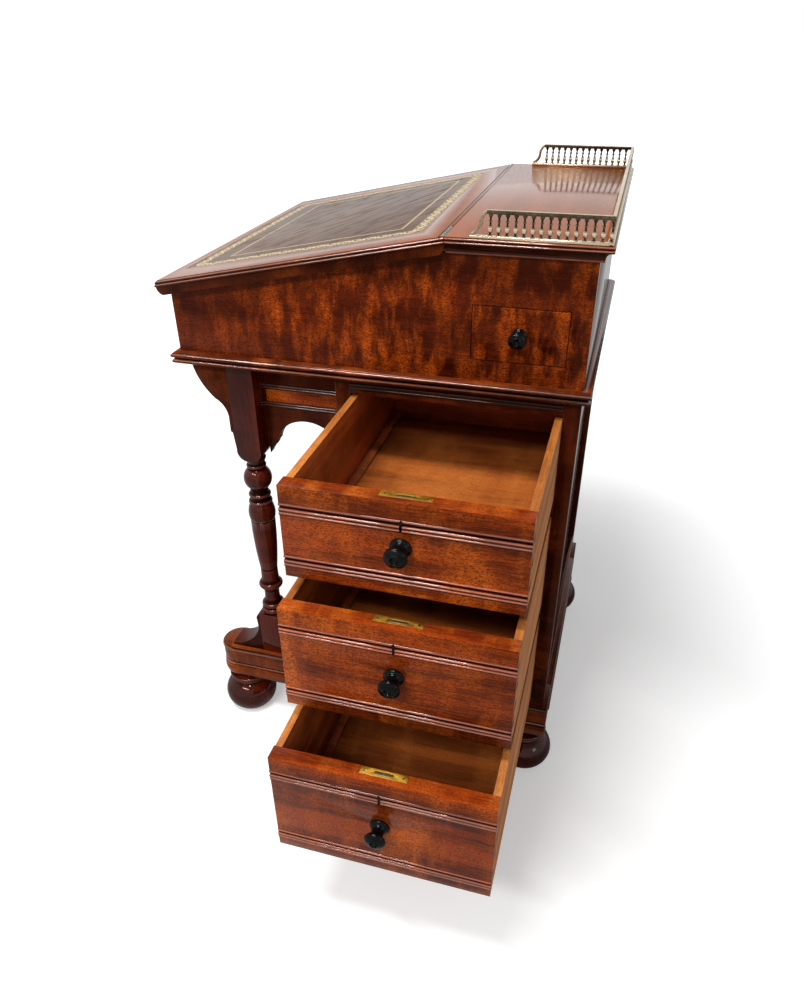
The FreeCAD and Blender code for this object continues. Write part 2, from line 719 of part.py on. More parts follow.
def lock_parts(name, inner, middle, high):
    """A drawer lock let into the inner face and top edge of its front, and its bolt."""
    centre = f"{inner} + lock_wide/2"
    plate = block(name + "_plate", (inner, f"{middle} - lock_long/2", f"{high} - lock_plate"),
                  (f"{inner} + lock_wide", f"{middle} + lock_long/2", high))
    case = block(name + "_case",
                 (inner, f"{middle} - lock_case_long/2", f"{high} - lock_case_high"),
                 (f"{inner} + lock_wide", f"{middle} + lock_case_long/2",
                  f"{high} - lock_plate"))
    seat = fuse(name + "_seat", plate, case)
    slot = block(name + "_way",
                 (f"{centre} - bolt_thick/2 - bolt_play",
                  f"{middle} - bolt_long/2 - bolt_play", f"{high} - bolt_high - 2*bolt_play"),
                 (f"{centre} + bolt_thick/2 + bolt_play",
                  f"{middle} + bolt_long/2 + bolt_play", f"{high} + 1"))
    bolt = block(name + "_bolt", (f"{centre} - bolt_thick/2", f"{middle} - bolt_long/2",
                                  f"{high} - bolt_high - bolt_play"),
                 (f"{centre} + bolt_thick/2", f"{middle} + bolt_long/2", f"{high} - bolt_play"))
    return seat, cut(name + "_body", seat, slot), bolt


def build_drawer(number):
    """One pedestal drawer, standing out of its opening by its own distance."""
    name = f"drawer_{number}"
    face = f"(pedestal_half + {name}_out)"
    inner = f"({face} - drawer_front)"
    end = f"({face} - drawer_long)"
    run = f"(open_{number} + drawer_run)"
    low = f"(open_{number} + drawer_gap)"
    high = f"(open_{number} + {name}_high - drawer_gap)"
    y_low, y_high = "(open_front + drawer_gap)", "(open_back - drawer_gap)"
    centre = f"(open_{number} + {name}_high/2 + knob_rise)"
    floor_low = f"({run} + floor_rise)"
    floor_top = f"({floor_low} + drawer_floor)"
    side_top = f"({high} - side_drop)"
    panel = along_y(name + "_panel", front_outline(face, "drawer_front", low, high),
                    y_low, y_high)
    seat, lock, bolt = lock_parts(name + "_lock", inner, "lock_y", high)
    tools = [seat, knob_bore(name + "_bore", face, "open_middle", centre)]
    tools += keyhole(name + "_key", face, "open_middle", f"{high} - band_top - key_radius - 1")
    tools.append(block(name + "_groove",
                       (inner, f"{y_low} + drawer_side", f"{floor_low} - groove_play"),
                       (f"{inner} + slip_groove", f"{y_high} - drawer_side",
                        f"{floor_top} + groove_play")))
    node(name + "_front", cut(name + "_front_cut", panel, *tools))
    node(name + "_lock", lock)
    node(name + "_bolt", bolt)
    node(name + "_knob", knob(name + "_pull", face, "open_middle", centre))
    sides = []
    for label, a, b in (("near", y_low, f"{y_low} + drawer_side"),
                        ("far", f"{y_high} - drawer_side", y_high)):
        sides.append(block(f"{name}_side_{label}", (end, a, run), (inner, b, side_top)))
    sides.append(block(name + "_rear", (end, f"{y_low} + drawer_side", floor_top),
                       (f"{end} + drawer_back", f"{y_high} - drawer_side",
                        f"{side_top} - back_drop")))
    node(name + "_carcase", group(name + "_boards", *sides))
    floor = block(name + "_board",
                  (end, f"{y_low} + drawer_side + slip_wide - slip_groove + groove_play",
                   floor_low),
                  (f"{inner} + slip_groove - groove_play",
                   f"{y_high} - drawer_side - slip_wide + slip_groove - groove_play", floor_top))
    slips = []
    for label, wall, way in (("near", f"{y_low} + drawer_side", 1),
                             ("far", f"{y_high} - drawer_side", -1)):
        nose = f"{wall} + {way}*slip_wide"
        deep = f"{wall} + {way}*(slip_wide - slip_groove)"
        spots = [(wall, f"{run} + slip_high"), (nose, f"{floor_top} + 1"),
                 (nose, f"{floor_top} + groove_play/2"), (deep, f"{floor_top} + groove_play/2"),
                 (deep, f"{floor_low} - groove_play/2"), (nose, f"{floor_low} - groove_play/2"),
                 (nose, run), (wall, run)]
        if way > 0:
            spots[0] += (0.3,)
        else:
            spots.reverse()
            spots[-2] += (0.3,)
        slips.append(along_x(f"{name}_slip_{label}", spots, f"{end} + drawer_back", inner))
    node(name + "_floor", group(name + "_bottom", floor, *slips))


def build_dummies():
    """Sham drawers on the left side, to match the working ones."""
    fronts, knobs = [], []
    for number in (1, 2, 3):
        low, high = f"open_{number}", f"(open_{number} + drawer_{number}_high)"
        centre = f"(open_{number} + drawer_{number}_high/2 + knob_rise)"
        panel = along_y(f"dummy_{number}", front_outline("pedestal_half", "dummy_thick",
                                                         low, high), "open_front", "open_back")
        bore = knob_bore(f"dummy_bore_{number}", "pedestal_half", "open_middle", centre)
        fronts.append(mirrored(f"dummy_left_{number}", cut(f"dummy_cut_{number}", panel, bore)))
        pull = knob(f"dummy_pull_{number}", "pedestal_half", "open_middle", centre)
        knobs.append(mirrored(f"dummy_pull_left_{number}", pull))
    node("dummy_drawer_fronts", group("dummy_fronts", *fronts))
    node("dummy_knobs", group("dummy_pulls", *knobs))


# ---------------------------------------------------------------- writing case
def build_case():
    """The well: sloped sides, front, back and floor, with the waist moulding round its foot."""
    side_shape = [("case_front", under_lid("case_front")), ("joint_y", under_lid("joint_y")),
                  ("joint_y", "case_top"), ("case_back", "case_top"),
                  ("case_back", "case_foot"), ("case_front", "case_foot")]
    side = along_x("case_side", side_shape, "case_half - case_wall", "case_half")
    opening = block("pen_opening", ("case_half - case_wall - 1", "pen_front", "pen_low"),
                    ("case_half + 1", "pen_back", "pen_low + pen_high"))
    node("case_side_left", mirrored("case_side_left_board", side))
    node("case_side_right", cut("case_side_right_board", side, opening))
    inside = "case_half - case_wall"
    front_back = "case_front + case_wall"
    front_shape = [("case_front", under_lid("case_front")), (front_back, under_lid(front_back)),
                   (front_back, "case_foot"), ("case_front", "case_foot")]
    node("case_front_board", along_x("case_front_piece", front_shape, f"0 - ({inside})", inside))
    node("case_back_board", block("case_back_piece",
         (f"0 - ({inside})", "case_back - case_wall", "case_foot"),
         (inside, "case_back", "case_top")))
    node("case_floor_board", block("case_floor_piece",
         (f"0 - ({inside})", front_back, "case_foot"),
         (inside, "case_back - case_wall", "case_foot + case_floor")))


WAIST_EDGE = [("0", "0"), ("4", "0"), ("waist_out - 3.5", "2.5"), ("waist_out - 3.5", "3", 0.8),
              ("waist_out - 3.5", "9"), ("waist_out - 5", "9.5"), ("waist_out - 5", "11"),
              ("waist_out - 4", "11.5", 0.7), ("waist_out - 4", "waist_high - 1"),
              ("waist_out - 5", "waist_high")]


def build_waist():
    """Four mitred lengths of moulding planted round the foot of the case."""
    top = "case_foot + waist_high"
    lengthways = edge("case_half", 1, top, WAIST_EDGE) + edge("0 - case_half", -1, top, WAIST_EDGE)
    crossways = edge("case_back", 1, top, WAIST_EDGE) + edge("case_front", -1, top, WAIST_EDGE)
    far = "waist_out + 5"
    moulded = common("waist_block",
                     along_y("waist_length", lengthways, f"case_front - ({far})",
                             f"case_back + {far}"),
                     along_x("waist_cross", crossways, f"0 - case_half - ({far})",
                             f"case_half + {far}"))
    core = block("waist_core", ("0 - case_half", "case_front", "case_foot - 1"),
                 ("case_half", "case_back", f"{top} + 1"))
    ring = cut("waist_ring", moulded, core)
    left, right, front, back = "0 - case_half", "case_half", "case_front", "case_back"
    wedges = {
        "front": [(left, front), (right, front), (f"{right} + {far}", f"{front} - ({far})"),
                  (f"{left} - ({far})", f"{front} - ({far})")],
        "right": [(right, back), (f"{right} + {far}", f"{back} + {far}"),
                  (f"{right} + {far}", f"{front} - ({far})"), (right, front)],
        "back": [(left, back), (f"{left} - ({far})", f"{back} + {far}"),
                 (f"{right} + {far}", f"{back} + {far}"), (right, back)],
        "left": [(left, front), (f"{left} - ({far})", f"{front} - ({far})"),
                 (f"{left} - ({far})", f"{back} + {far}"), (left, back)]}
    lengths = [common(f"waist_{label}", ring,
                      along_z(f"waist_mitre_{label}", wedge, "case_foot", top))
               for label, wedge in wedges.items()]
    node("waist_moulding", group("waist_lengths", *lengths))


def build_pen_drawer():
    """A shallow drawer for pens in the right side of the case, in its own housing."""
    outer, inside = "case_half", "case_half - case_wall"
    far = "case_half - pen_long"
    top = "pen_low + pen_high"
    shell = [
        block("pen_house_floor", (far, "pen_front", "pen_low - pen_wall"),
              (inside, "pen_back", "pen_low")),
        block("pen_house_roof", (far, "pen_front", top), (inside, "pen_back", f"{top} + pen_wall")),
        block("pen_house_front", (far, "pen_front - pen_wall", "pen_low - pen_wall"),
              (inside, "pen_front", f"{top} + pen_wall")),
        block("pen_house_back", (far, "pen_back", "pen_low - pen_wall"),
              (inside, "pen_back + pen_wall", f"{top} + pen_wall")),
        block("pen_house_end", (f"{far} - pen_wall", "pen_front - pen_wall", "pen_low - pen_wall"),
              (far, "pen_back + pen_wall", f"{top} + pen_wall"))]
    node("pen_drawer_housing", group("pen_house", *shell))
    y_low, y_high = "pen_front + pen_gap", "pen_back - pen_gap"
    panel = block("pen_panel", (inside, y_low, "pen_low + pen_gap"),
                  (outer, y_high, f"{top} - pen_gap"))
    centre = ("(pen_front + pen_back)/2", "(pen_low + pen_high/2)")
    bore = knob_bore("pen_bore", outer, *centre, "pen_knob_scale")
    node("pen_drawer_front", cut("pen_front_cut", panel, bore))
    node("pen_drawer_knob", knob("pen_pull", outer, *centre, "pen_knob_scale"))
    tray = block("pen_tray", (f"{far} + 1", y_low, "pen_low + drawer_run"),
                 (inside, y_high, f"{top} - 12"))
    hollow = block("pen_hollow", (f"{far} + 1 + pen_wall", f"{y_low} + pen_wall",
                                  "pen_low + drawer_run + pen_wall"),
                   (f"{inside} - pen_wall", f"{y_high} - pen_wall", top))
    node("pen_drawer_tray", cut("pen_tray_cut", tray, hollow))


# ---------------------------------------------------------------- top, lid, hinges, leather
BEADS = [("-0.8", "0.6"), ("0", "0.6", 0.8), ("0", "0.6 + edge_bead"),
         ("-0.8", "0.6 + edge_bead"), ("-0.8", "1.2 + edge_bead"),
         ("-0.2", "1.2 + edge_bead", 0.8), ("-0.2", "1.2 + 2*edge_bead")]
TOP_EDGE = [("-0.8", "0")] + BEADS + [("-2", "1.4 + 2*edge_bead", -0.35),
                                      ("0 - edge_cove", "board_thick - 2"),
                                      ("0 - edge_cove", "board_thick")]
LID_EDGE = [("-0.8", "0")] + BEADS + [("0 - lid_lip", "1.2 + 2*edge_bead"),
                                      ("0 - lid_lip", "board_thick")]
HINGE_PARTS = 5


def hinge_spans(part_numbers):
    """Start of each knuckle with these numbers, along the hinge."""
    return [f"half_top - hinge_inset - hinge_long + {n}*hinge_long/{HINGE_PARTS}"
            for n in part_numbers]


def build_top():
    rear = edge("top_back", 1, "flat_z", TOP_EDGE)
    rear += edge("joint_y + joint_gap", -1, "flat_z", plain("board_thick"))
    sides = edge("half_top", 1, "flat_z", TOP_EDGE) + edge("0 - half_top", -1, "flat_z", TOP_EDGE)
    board = common("top_board", along_x("top_cross", rear, "0 - half_top - 5", "half_top + 5"),
                   along_y("top_length", sides, "joint_y", "top_back + 5"))
    node("fixed_top", cut("top_cut", board, *leaf_recess("top", "joint_y + joint_gap",
                                                          "joint_y + joint_gap + leaf_thick",
                                                          "axis_z + 1")))


def leaf_recess(name, low, high, top):
    start = "half_top - hinge_inset - hinge_long - hinge_play"
    right = block(name + "_recess", (start, low, "axis_z - leaf_high - 0.1"),
                  ("half_top - hinge_inset + hinge_play", high, top))
    return [right, mirrored(name + "_recess_left", right)]


def build_lid():
    """The sloping lid, hinged at the joint, with a bead in line with the hinge knuckles."""
    across = "0 - knuckle_radius*(cos(slope) + sin(slope))"
    up = "knuckle_radius*(sin(slope) - cos(slope))"
    length = [("1 - lid_long", "0 - board_thick", 0.65), ("0 - lid_long", "0"),
              (f"{across} - knuckle_radius - 1", "0"),
              (f"{across} - knuckle_radius", up, 1.1),
              ("0 - knuckle_radius*sin(slope)", "0 - knuckle_radius*cos(slope)"),
              ("(lid_heel - board_thick)*tan(slope)", "lid_heel - board_thick", 0.4),
              ("0 - board_thick*tan(slope) - lid_heel", "0 - board_thick")]
    raised = [("-0.8", "-2")] + LID_EDGE[1:]
    sides = edge("half_top", 1, "0", raised) + edge("0 - half_top", -1, "0", raised)
    blank = tilted(common("lid_blank",
                          along_x("lid_length", length, "0 - half_top - 5", "half_top + 5"),
                          along_y("lid_cross", sides, "0 - lid_long - 12", "5")))
    recess = slope_block("leather_recess", "0", "board_thick")
    notch = rod("lid_notch", (f"{hinge_spans([0])[0]} - hinge_play", "axis_y", "axis_z"),
                "knuckle_radius + hinge_play", "hinge_long + 2*hinge_play", (1, 0, 0))
    tools = [recess, notch, mirrored("lid_notch_left", notch)]
    tools += leaf_recess("lid", "joint_y - leaf_thick", "joint_y + 1", "axis_z")
    node("lid_board", cut("lid_cut", blank, *tools))
    node("writing_leather", slope_block("leather", "leather_fit", "leather_thick"))


def slope_block(name, gap, high):
    """A slab let into the lid where the leather lies, held in from its edge by a gap."""
    slab = doc.addObject("Part::Box", name)
    bind(slab, Length=f"top_width - 2*leather_side - 2*{gap}",
         Width=f"lid_long - leather_front - leather_back - 2*{gap}", Height=high)
    tilted(slab)
    y, z = on_slope(f"leather_front - lid_long + {gap}", "0 - leather_thick")
    return place(slab, f"leather_side - half_top + {gap}", y, z)


def build_hinges():
    """A pair of butt hinges with their knuckles in line with the lid's bead.

    A web joins each knuckle to its leaf: straight up beside the lid's leaf, and up and then
    over the joint from the fixed one.
    """
    knuckle = f"hinge_long/{HINGE_PARTS}"
    start = hinge_spans([0])[0]
    foot = "axis_z - knuckle_radius - 1"
    fixed_low, fixed_high = "joint_y + joint_gap", "joint_y + joint_gap + leaf_thick"
    lid_low, lid_high = "joint_y - leaf_thick", "joint_y"
    leaves = {"fixed": ((0, 2, 4), fixed_low, fixed_high, "pin_play",
                        {"stem": (fixed_low, foot, "axis_z + 0.6"),
                         "arm": (f"{lid_low} + 0.4", "axis_z - 0.6", "axis_z + 0.6")}),
              "lid": ((1, 3), lid_low, lid_high, "pin_clear", {"stem": (lid_low, foot, "axis_z")})}
    for label, (numbers, low, high, play, webs) in leaves.items():
        pieces = [block(f"leaf_{label}", (start, low, "axis_z - leaf_high"),
                        (f"{start} + hinge_long", high, "axis_z - knuckle_radius - hinge_play"))]
        for index, span in enumerate(hinge_spans(numbers)):
            near, far = f"{span} + pin_play", f"{span} + {knuckle} - pin_play"
            pieces.append(rod(f"knuckle_{label}_{index}", (near, "axis_y", "axis_z"),
                              "knuckle_radius", f"{knuckle} - 2*pin_play", (1, 0, 0)))
            for part, (web, bottom, top) in webs.items():
                pieces.append(block(f"web_{label}_{index}_{part}", (near, web, bottom),
                                    (far, high, top)))
        bore = rod(f"pin_bore_{label}", (f"{start} - 1", "axis_y", "axis_z"),
                   f"pin_radius + {play}", "hinge_long + 2", (1, 0, 0))
        leaf = cut(f"hinge_{label}", fuse(f"hinge_{label}_solid", *pieces), bore)
        node(f"hinge_leaves_{label}", group(f"hinge_pair_{label}", leaf,
                                            mirrored(f"hinge_{label}_left", leaf)))
    pin = rod("hinge_pin", (start, "axis_y", "axis_z"), "pin_radius", "hinge_long", (1, 0, 0))
    node("hinge_pins", group("hinge_pin_pair", pin, mirrored("hinge_pin_left", pin)))


# ---------------------------------------------------------------- brass gallery
def build_gallery():
    """A three-quarter gallery: flat foot rails, turned spindles, top rails and scroll ends."""
    pieces = []
    for label, half, low, high, start in (
            ("foot", "gallery_foot/2", "flat_z", "foot_top", "gallery_y"),
            ("rail", "gallery_rail/2", "rail_low", "gallery_top",
             "(gallery_y + gallery_scroll)")):
        right = block(f"gallery_{label}_right", (f"gallery_x - {half}", start, low),
                      (f"gallery_x + {half}", f"gallery_back - {half}", high))
        pieces += [right, mirrored(f"gallery_{label}_left", right)]
        pieces.append(block(f"gallery_{label}_back",
                            (f"0 - gallery_x - {half}", f"gallery_back - {half}", low),
                            (f"gallery_x + {half}", f"gallery_back + {half}", high)))
    at = lambda along, up: (f"gallery_y + {along}", f"foot_top + {up}")
    tall = "gallery_top - foot_top"
    sweep = [(*at("1", "2.5"), -0.3), (*at("10", f"({tall})*0.5"), 0.3),
             (*at("gallery_scroll", tall),), at("gallery_scroll", f"{tall} - gallery_rail"),
             (*at("14", f"({tall})*0.45"), 0.3), at("5", "0"), at("1", "0")]
    sweep[3] = (*sweep[3], -0.25)
    scroll = along_x("gallery_scroll_end", sweep, "gallery_x - gallery_rail/2",
                     "gallery_x + gallery_rail/2")
    pieces += [scroll, mirrored("gallery_scroll_end_left", scroll)]
    node("gallery_rails", group("gallery_bars", *pieces))


def build_spindles():
    """Turned spindles at an even pitch between the foot and top rails."""
    shape = [("spindle_radius*0.6", "rail_low"), ("spindle_radius", "foot_top + 9"),
             ("spindle_radius*0.6", "foot_top")]
    spindle = turned("spindle", shape)
    doc.recompute()
    half, back, start = value("gallery_x"), value("gallery_back"), value("gallery_y")
    pitch = value("spindle_pitch")
    side_run = back - start - value("gallery_scroll")
    across = int(2*half//pitch)
    spots = [(-half + 2*half*step/across, back) for step in range(across + 1)]
    for step in range(1, int(side_run//pitch) + 1):
        spots += [(side*half, back - step*pitch) for side in (-1, 1)]
    row = doc.addObject("Part::Feature", "spindle_row")
    row.Shape = Part.makeCompound([spindle.Shape.translated(Vector(x, y, 0)) for x, y in spots])
    row.Placement = FreeCAD.Placement()
    node("gallery_spindles", row)


# ---------------------------------------------------------------- build and write
build_base()
build_feet()
build_legs()
build_aprons()
build_pedestal()
build_rails()
build_runners()
for drawer_number in (1, 2, 3):
    build_drawer(drawer_number)
build_dummies()
build_case()
build_waist()
build_pen_drawer()
build_top()
build_lid()
build_hinges()
build_gallery()
build_spindles()
doc.recompute()

for item in doc.Objects:
    if "Invalid" in item.State or "Error" in item.State:
        raise RuntimeError(f"{item.Label} failed: {item.State}")
broken = [label for label, item in NODES.items()
          if item.Shape.isNull() or not item.Shape.isValid() or not item.Shape.Solids]
if broken:
    raise RuntimeError(f"No valid shape: {broken}")

os.makedirs("parts", exist_ok=True)
for label, item in NODES.items():
    item.Shape.exportStep(f"parts/{label}.step")
    print(f"{label}: {len(item.Shape.Solids)} solids, {item.Shape.Volume/1000:.1f} cm3")
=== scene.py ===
# %% [markdown]
# # A davenport desk
#
# A davenport is a small writing desk: a sloped, leather-topped case on a pedestal of side drawers,
# with two turned legs in front. The solids arrive ready made, one mesh for each piece of wood or
# brass. This lesson gives them softened arrises, wood grain that runs the right way on each
# board, polish, leather and gilding, and adds what is too fine for the solids.

# %% Load the solids
import json
import math
import random
import bmesh
import bpy
from mathutils import Matrix, Vector


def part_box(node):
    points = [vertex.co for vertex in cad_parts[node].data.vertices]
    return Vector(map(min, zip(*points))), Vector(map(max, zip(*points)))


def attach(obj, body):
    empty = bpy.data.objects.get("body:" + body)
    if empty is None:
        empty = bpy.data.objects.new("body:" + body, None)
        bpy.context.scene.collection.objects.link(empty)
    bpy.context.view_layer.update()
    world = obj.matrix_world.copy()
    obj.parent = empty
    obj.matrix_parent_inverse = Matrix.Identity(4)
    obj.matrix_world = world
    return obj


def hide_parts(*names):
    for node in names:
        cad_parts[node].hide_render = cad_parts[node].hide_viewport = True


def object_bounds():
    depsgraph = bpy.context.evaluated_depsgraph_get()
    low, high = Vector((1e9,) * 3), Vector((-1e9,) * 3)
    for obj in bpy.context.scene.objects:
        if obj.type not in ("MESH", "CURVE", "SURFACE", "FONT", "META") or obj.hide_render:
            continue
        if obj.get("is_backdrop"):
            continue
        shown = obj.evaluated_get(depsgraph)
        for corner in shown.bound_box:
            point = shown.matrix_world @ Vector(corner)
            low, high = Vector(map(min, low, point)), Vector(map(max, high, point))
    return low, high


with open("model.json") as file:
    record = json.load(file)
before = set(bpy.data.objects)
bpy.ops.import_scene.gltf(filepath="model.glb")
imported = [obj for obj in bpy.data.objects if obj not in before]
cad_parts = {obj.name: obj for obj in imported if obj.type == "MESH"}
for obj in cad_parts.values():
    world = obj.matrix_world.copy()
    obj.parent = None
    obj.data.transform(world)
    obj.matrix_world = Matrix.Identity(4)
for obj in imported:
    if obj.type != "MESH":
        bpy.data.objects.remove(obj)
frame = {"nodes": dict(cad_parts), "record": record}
cad_box = [list(corner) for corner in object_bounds()]
MM = 0.001
print("box:", cad_box)

# %% [markdown]
# ## Soft arrises
#
# No cabinet maker leaves a knife-sharp arris: each one is eased with a pass of fine paper, and the
# small round it leaves catches a thin line of light. The solids come as loose triangles with
# sharp edges. They could be shaded with a trick that only looks round, but a real bevel also
# shows in the outline. So each solid is copied, its loose triangles are joined, its flat faces
# made whole, and every sharp outer edge is bevelled by a fraction of a millimetre. Two numbers
# are written on the faces while their neighbours are known: how tightly a face bends outwards,
# where its crest is painted paler, partly as polish rubbed by hands and partly as a painted
# highlight, and whether it lies in a narrow groove, painted black, partly as old wax and partly as
# painted shade. The finishes read them later.


# %% Join the triangles of a solid and ease its arrises
WELD, FLAT, SHARP = 0.001*MM, math.radians(0.2), math.radians(40)
# Eased arrises are painted paler: partly rubbed polish, partly a painted highlight.
ARRIS_WEAR_AND_HIGHLIGHT = 0.65                            # how rubbed an eased arris is, where 1 is bare
MOULDED = 2.8                                # strips narrower than this, in mm, are mouldings
OUTWARD, INWARD, TIGHT = 0.1, -0.06, -0.6    # how an edge bends, in radians
# A bend paints crests paler, as rubbing and highlight, and grooves black, as old wax and painted
# shade.
RUB_AND_HIGHLIGHT_BY_BEND, WAX_AND_SHADE_BY_BEND = 2.4, 5            # what a bend of a radian in a millimetre adds
WAX_AND_SHADE_REACH, WAX_AND_SHADE_FADE = 1, 1.6                 # how far wax spreads from a tight corner, in mm


def joined(node):
    """A copy of a node's loose triangles, welded and with whole flat faces."""
    shape = bmesh.new()
    shape.from_mesh(frame["nodes"][node].data)
    bmesh.ops.remove_doubles(shape, verts=shape.verts, dist=WELD)
    bmesh.ops.dissolve_limit(shape, angle_limit=FLAT, verts=shape.verts, edges=shape.edges)
    return shape


def across(face):
    """How wide a strip of a curve is, in millimetres."""
    return face.calc_area()/max(max(edge.calc_length() for edge in face.edges), MM)/MM


def ease(shape, width):
    """Bevel the arrises; mark crests painted paler (wear and highlight) and grooves black (wax and
    shade).
    """
    wear_and_highlight = shape.faces.layers.float.new("arris")
    wax_and_shade = shape.faces.layers.float.new("crease")
    sharp = [edge for edge in shape.edges if len(edge.link_faces) == 2 and edge.is_convex
             and edge.calc_face_angle() > SHARP]
    made = bmesh.ops.bevel(shape, geom=sharp, offset=width*MM, segments=2, profile=0.5,
                           affect="EDGES", clamp_overlap=True)
    wide = {face: across(face) for face in shape.faces}
    depth = {}
    for edge in shape.edges:
        angle = edge.calc_face_angle_signed(0)
        for face in edge.link_faces:
            if wide[face] < MOULDED and angle > OUTWARD:
                face[wear_and_highlight] = max(face[wear_and_highlight], min(0.9, RUB_AND_HIGHLIGHT_BY_BEND*angle/wide[face]))
            elif wide[face] < MOULDED and angle < INWARD:
                face[wax_and_shade] = max(face[wax_and_shade], min(1, -WAX_AND_SHADE_BY_BEND*angle/wide[face]))
                if angle < TIGHT:
                    depth[face] = 0.0
    for face in made["faces"]:
        face[wear_and_highlight] = ARRIS_WEAR_AND_HIGHLIGHT
    spread_wax_and_shade(depth, wide, wax_and_shade)


def spread_wax_and_shade(depth, wide, wax_and_shade):
    """Blacken the strips on both sides of a tight corner, as old wax and painted shade, to about a
    millimetre from it.
    """
    waiting = list(depth)
    for face in waiting:
        face[wax_and_shade] = max(face[wax_and_shade], min(1, WAX_AND_SHADE_FADE - depth[face]))
        if depth[face] + wide[face] < WAX_AND_SHADE_REACH:
            fresh = {other: depth[face] + wide[face] for edge in face.edges
                     for other in edge.link_faces if other not in depth and wide[other] < MOULDED}
            depth.update(fresh)
            waiting.extend(fresh)


def mark_sharp(shape, limit):
    """Shade smoothly over curves, and stop at corners and at the borders of the bevels."""
    wear_and_highlight = shape.faces.layers.float.get("arris")
    for face in shape.faces:
        face.smooth = True
    for edge in shape.edges:
        if len(edge.link_faces) == 2:
            first, second = edge.link_faces
            border = wear_and_highlight is not None and (
                (first[wear_and_highlight] == ARRIS_WEAR_AND_HIGHLIGHT) != (second[wear_and_highlight] == ARRIS_WEAR_AND_HIGHLIGHT))
            edge.smooth = edge.calc_face_angle() < math.radians(limit) and not border


# %% [markdown]
# ## Grain that follows each board
#
# Wood is cut so that its grain runs along the longest side of each piece, and no two boards carry
# on the same figure. A texture over the whole desk would show one pattern running through every
# joint. So each solid is found on its own, its longest side is measured, and the direction and a
# number of its own are written on its faces for the wood's material to read.


# %% Write the grain direction and a board number on each solid
def islands(shape):
    """The faces of each separate solid."""
    left = set(shape.faces)
    found = []
    while left:
        solid, waiting = [], [left.pop()]
        while waiting:
            face = waiting.pop()
            solid.append(face)
            for edge in face.edges:
                near = [other for other in edge.link_faces if other in left]
                left.difference_update(near)
                waiting.extend(near)
        found.append(solid)
    corner = lambda faces: min(tuple(round(n, 5) for n in face.calc_center_median())
                               for face in faces)
    return sorted(found, key=corner)


def cut_from_boards(shape, name, along=None):
    """Give each solid its grain direction, along its longest side unless one is given."""
    grain = shape.faces.layers.float_vector.new("grain")
    board = shape.faces.layers.float.new("board")
    luck = random.Random(name)
    for solid in islands(shape):
        corners = [vert.co for face in solid for vert in face.verts]
        spread = [max(c[i] for c in corners) - min(c[i] for c in corners) for i in range(3)]
        way = along if along is not None else spread.index(max(spread))
        number = luck.uniform(0, 20)
        for face in solid:
            face[grain] = Vector([float(i == way) for i in range(3)])
            face[board] = number


# %% Turn a finished shape into a piece of the desk
def put(name, data):
    """A new object in the scene."""
    made = bpy.data.objects.new(name, data)
    bpy.context.scene.collection.objects.link(made)
    return made


def piece(name, shape, finish, body, stands_for=(), smooth=32):
    """A finished piece on its body, in the place of the solids that it stands for.

    Edges that bend by less than smooth, in degrees, are shaded as curves.
    """
    mark_sharp(shape, smooth)
    mesh = bpy.data.meshes.new(name)
    shape.to_mesh(mesh)
    shape.free()
    mesh.materials.append(finish)
    made = put(name, mesh)
    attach(made, body)
    if stands_for:
        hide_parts(*stands_for)
    return made


def refinish(made, finish, chosen):
    """Give another finish to the faces that a test picks out."""
    made.data.materials.append(finish)
    for face in made.data.polygons:
        if chosen(face):
            face.material_index = len(made.data.materials) - 1


# %% [markdown]
# ## Building materials from named parts
#
# Every finish here is a small network of nodes. Writing each node out takes four lines, so two
# short helpers keep the networks readable: one adds a node with its options and inputs, the
# other does sums on values.


# %% Helpers for node networks
def add(tree, kind, inputs=(), **options):
    """Add a node. Inputs are numbers, colours or other nodes' outputs."""
    made = tree.nodes.new(kind)
    for key, option in options.items():
        setattr(made, key, option)
    for key, source in dict(inputs).items():
        if isinstance(source, bpy.types.NodeSocket):
            tree.links.new(source, made.inputs[key])
        else:
            made.inputs[key].default_value = source
    return made


def sums(tree, operation, a, b=0.5):
    return add(tree, "ShaderNodeMath", {0: a, 1: b}, operation=operation).outputs[0]


def vectors(tree, operation, a, b):
    """Sums on vectors: the second input of SCALE is a number."""
    made = add(tree, "ShaderNodeVectorMath", {0: a, 3 if operation == "SCALE" else 1: b},
               operation=operation)
    return made.outputs["Value" if operation == "DOT_PRODUCT" else "Vector"]


def noise(tree, place, scale, detail=3, rough=0.55, warp=0.0):
    return add(tree, "ShaderNodeTexNoise", {"Vector": place, "Scale": scale, "Detail": detail,
               "Roughness": rough, "Distortion": warp}).outputs["Fac"]


def ramp(tree, value, low, high, bottom=0.0, top=1.0):
    """Stretch the values from low to high over bottom to top, with soft ends."""
    return add(tree, "ShaderNodeMapRange", {"Value": value, "From Min": low, "From Max": high,
               "To Min": bottom, "To Max": top}, interpolation_type="SMOOTHSTEP").outputs[0]


def mix(tree, share, first, second):
    """A colour between two colours."""
    made = add(tree, "ShaderNodeMix", {0: share}, data_type="RGBA")
    for number, colour in ((6, first), (7, second)):
        if isinstance(colour, bpy.types.NodeSocket):
            tree.links.new(colour, made.inputs[number])
        else:
            made.inputs[number].default_value = (*colour, 1)
    return made.outputs[2]


def group(name, inputs):
    """An empty node group with named inputs."""
    tree = bpy.data.node_groups.new(name, "ShaderNodeTree")
    for label, kind in inputs.items():
        tree.interface.new_socket(name=label, in_out="INPUT", socket_type="NodeSocket" + kind)
    return tree, tree.nodes.new("NodeGroupInput").outputs


def give(tree, masks):
    """Give a node group its named outputs."""
    for label in masks:
        tree.interface.new_socket(name=label, in_out="OUTPUT", socket_type="NodeSocketFloat")
    leave = tree.nodes.new("NodeGroupOutput")
    for label, mask in masks.items():
        tree.links.new(mask, leave.inputs[label])
    print(tree.name, "gives", ", ".join(masks))


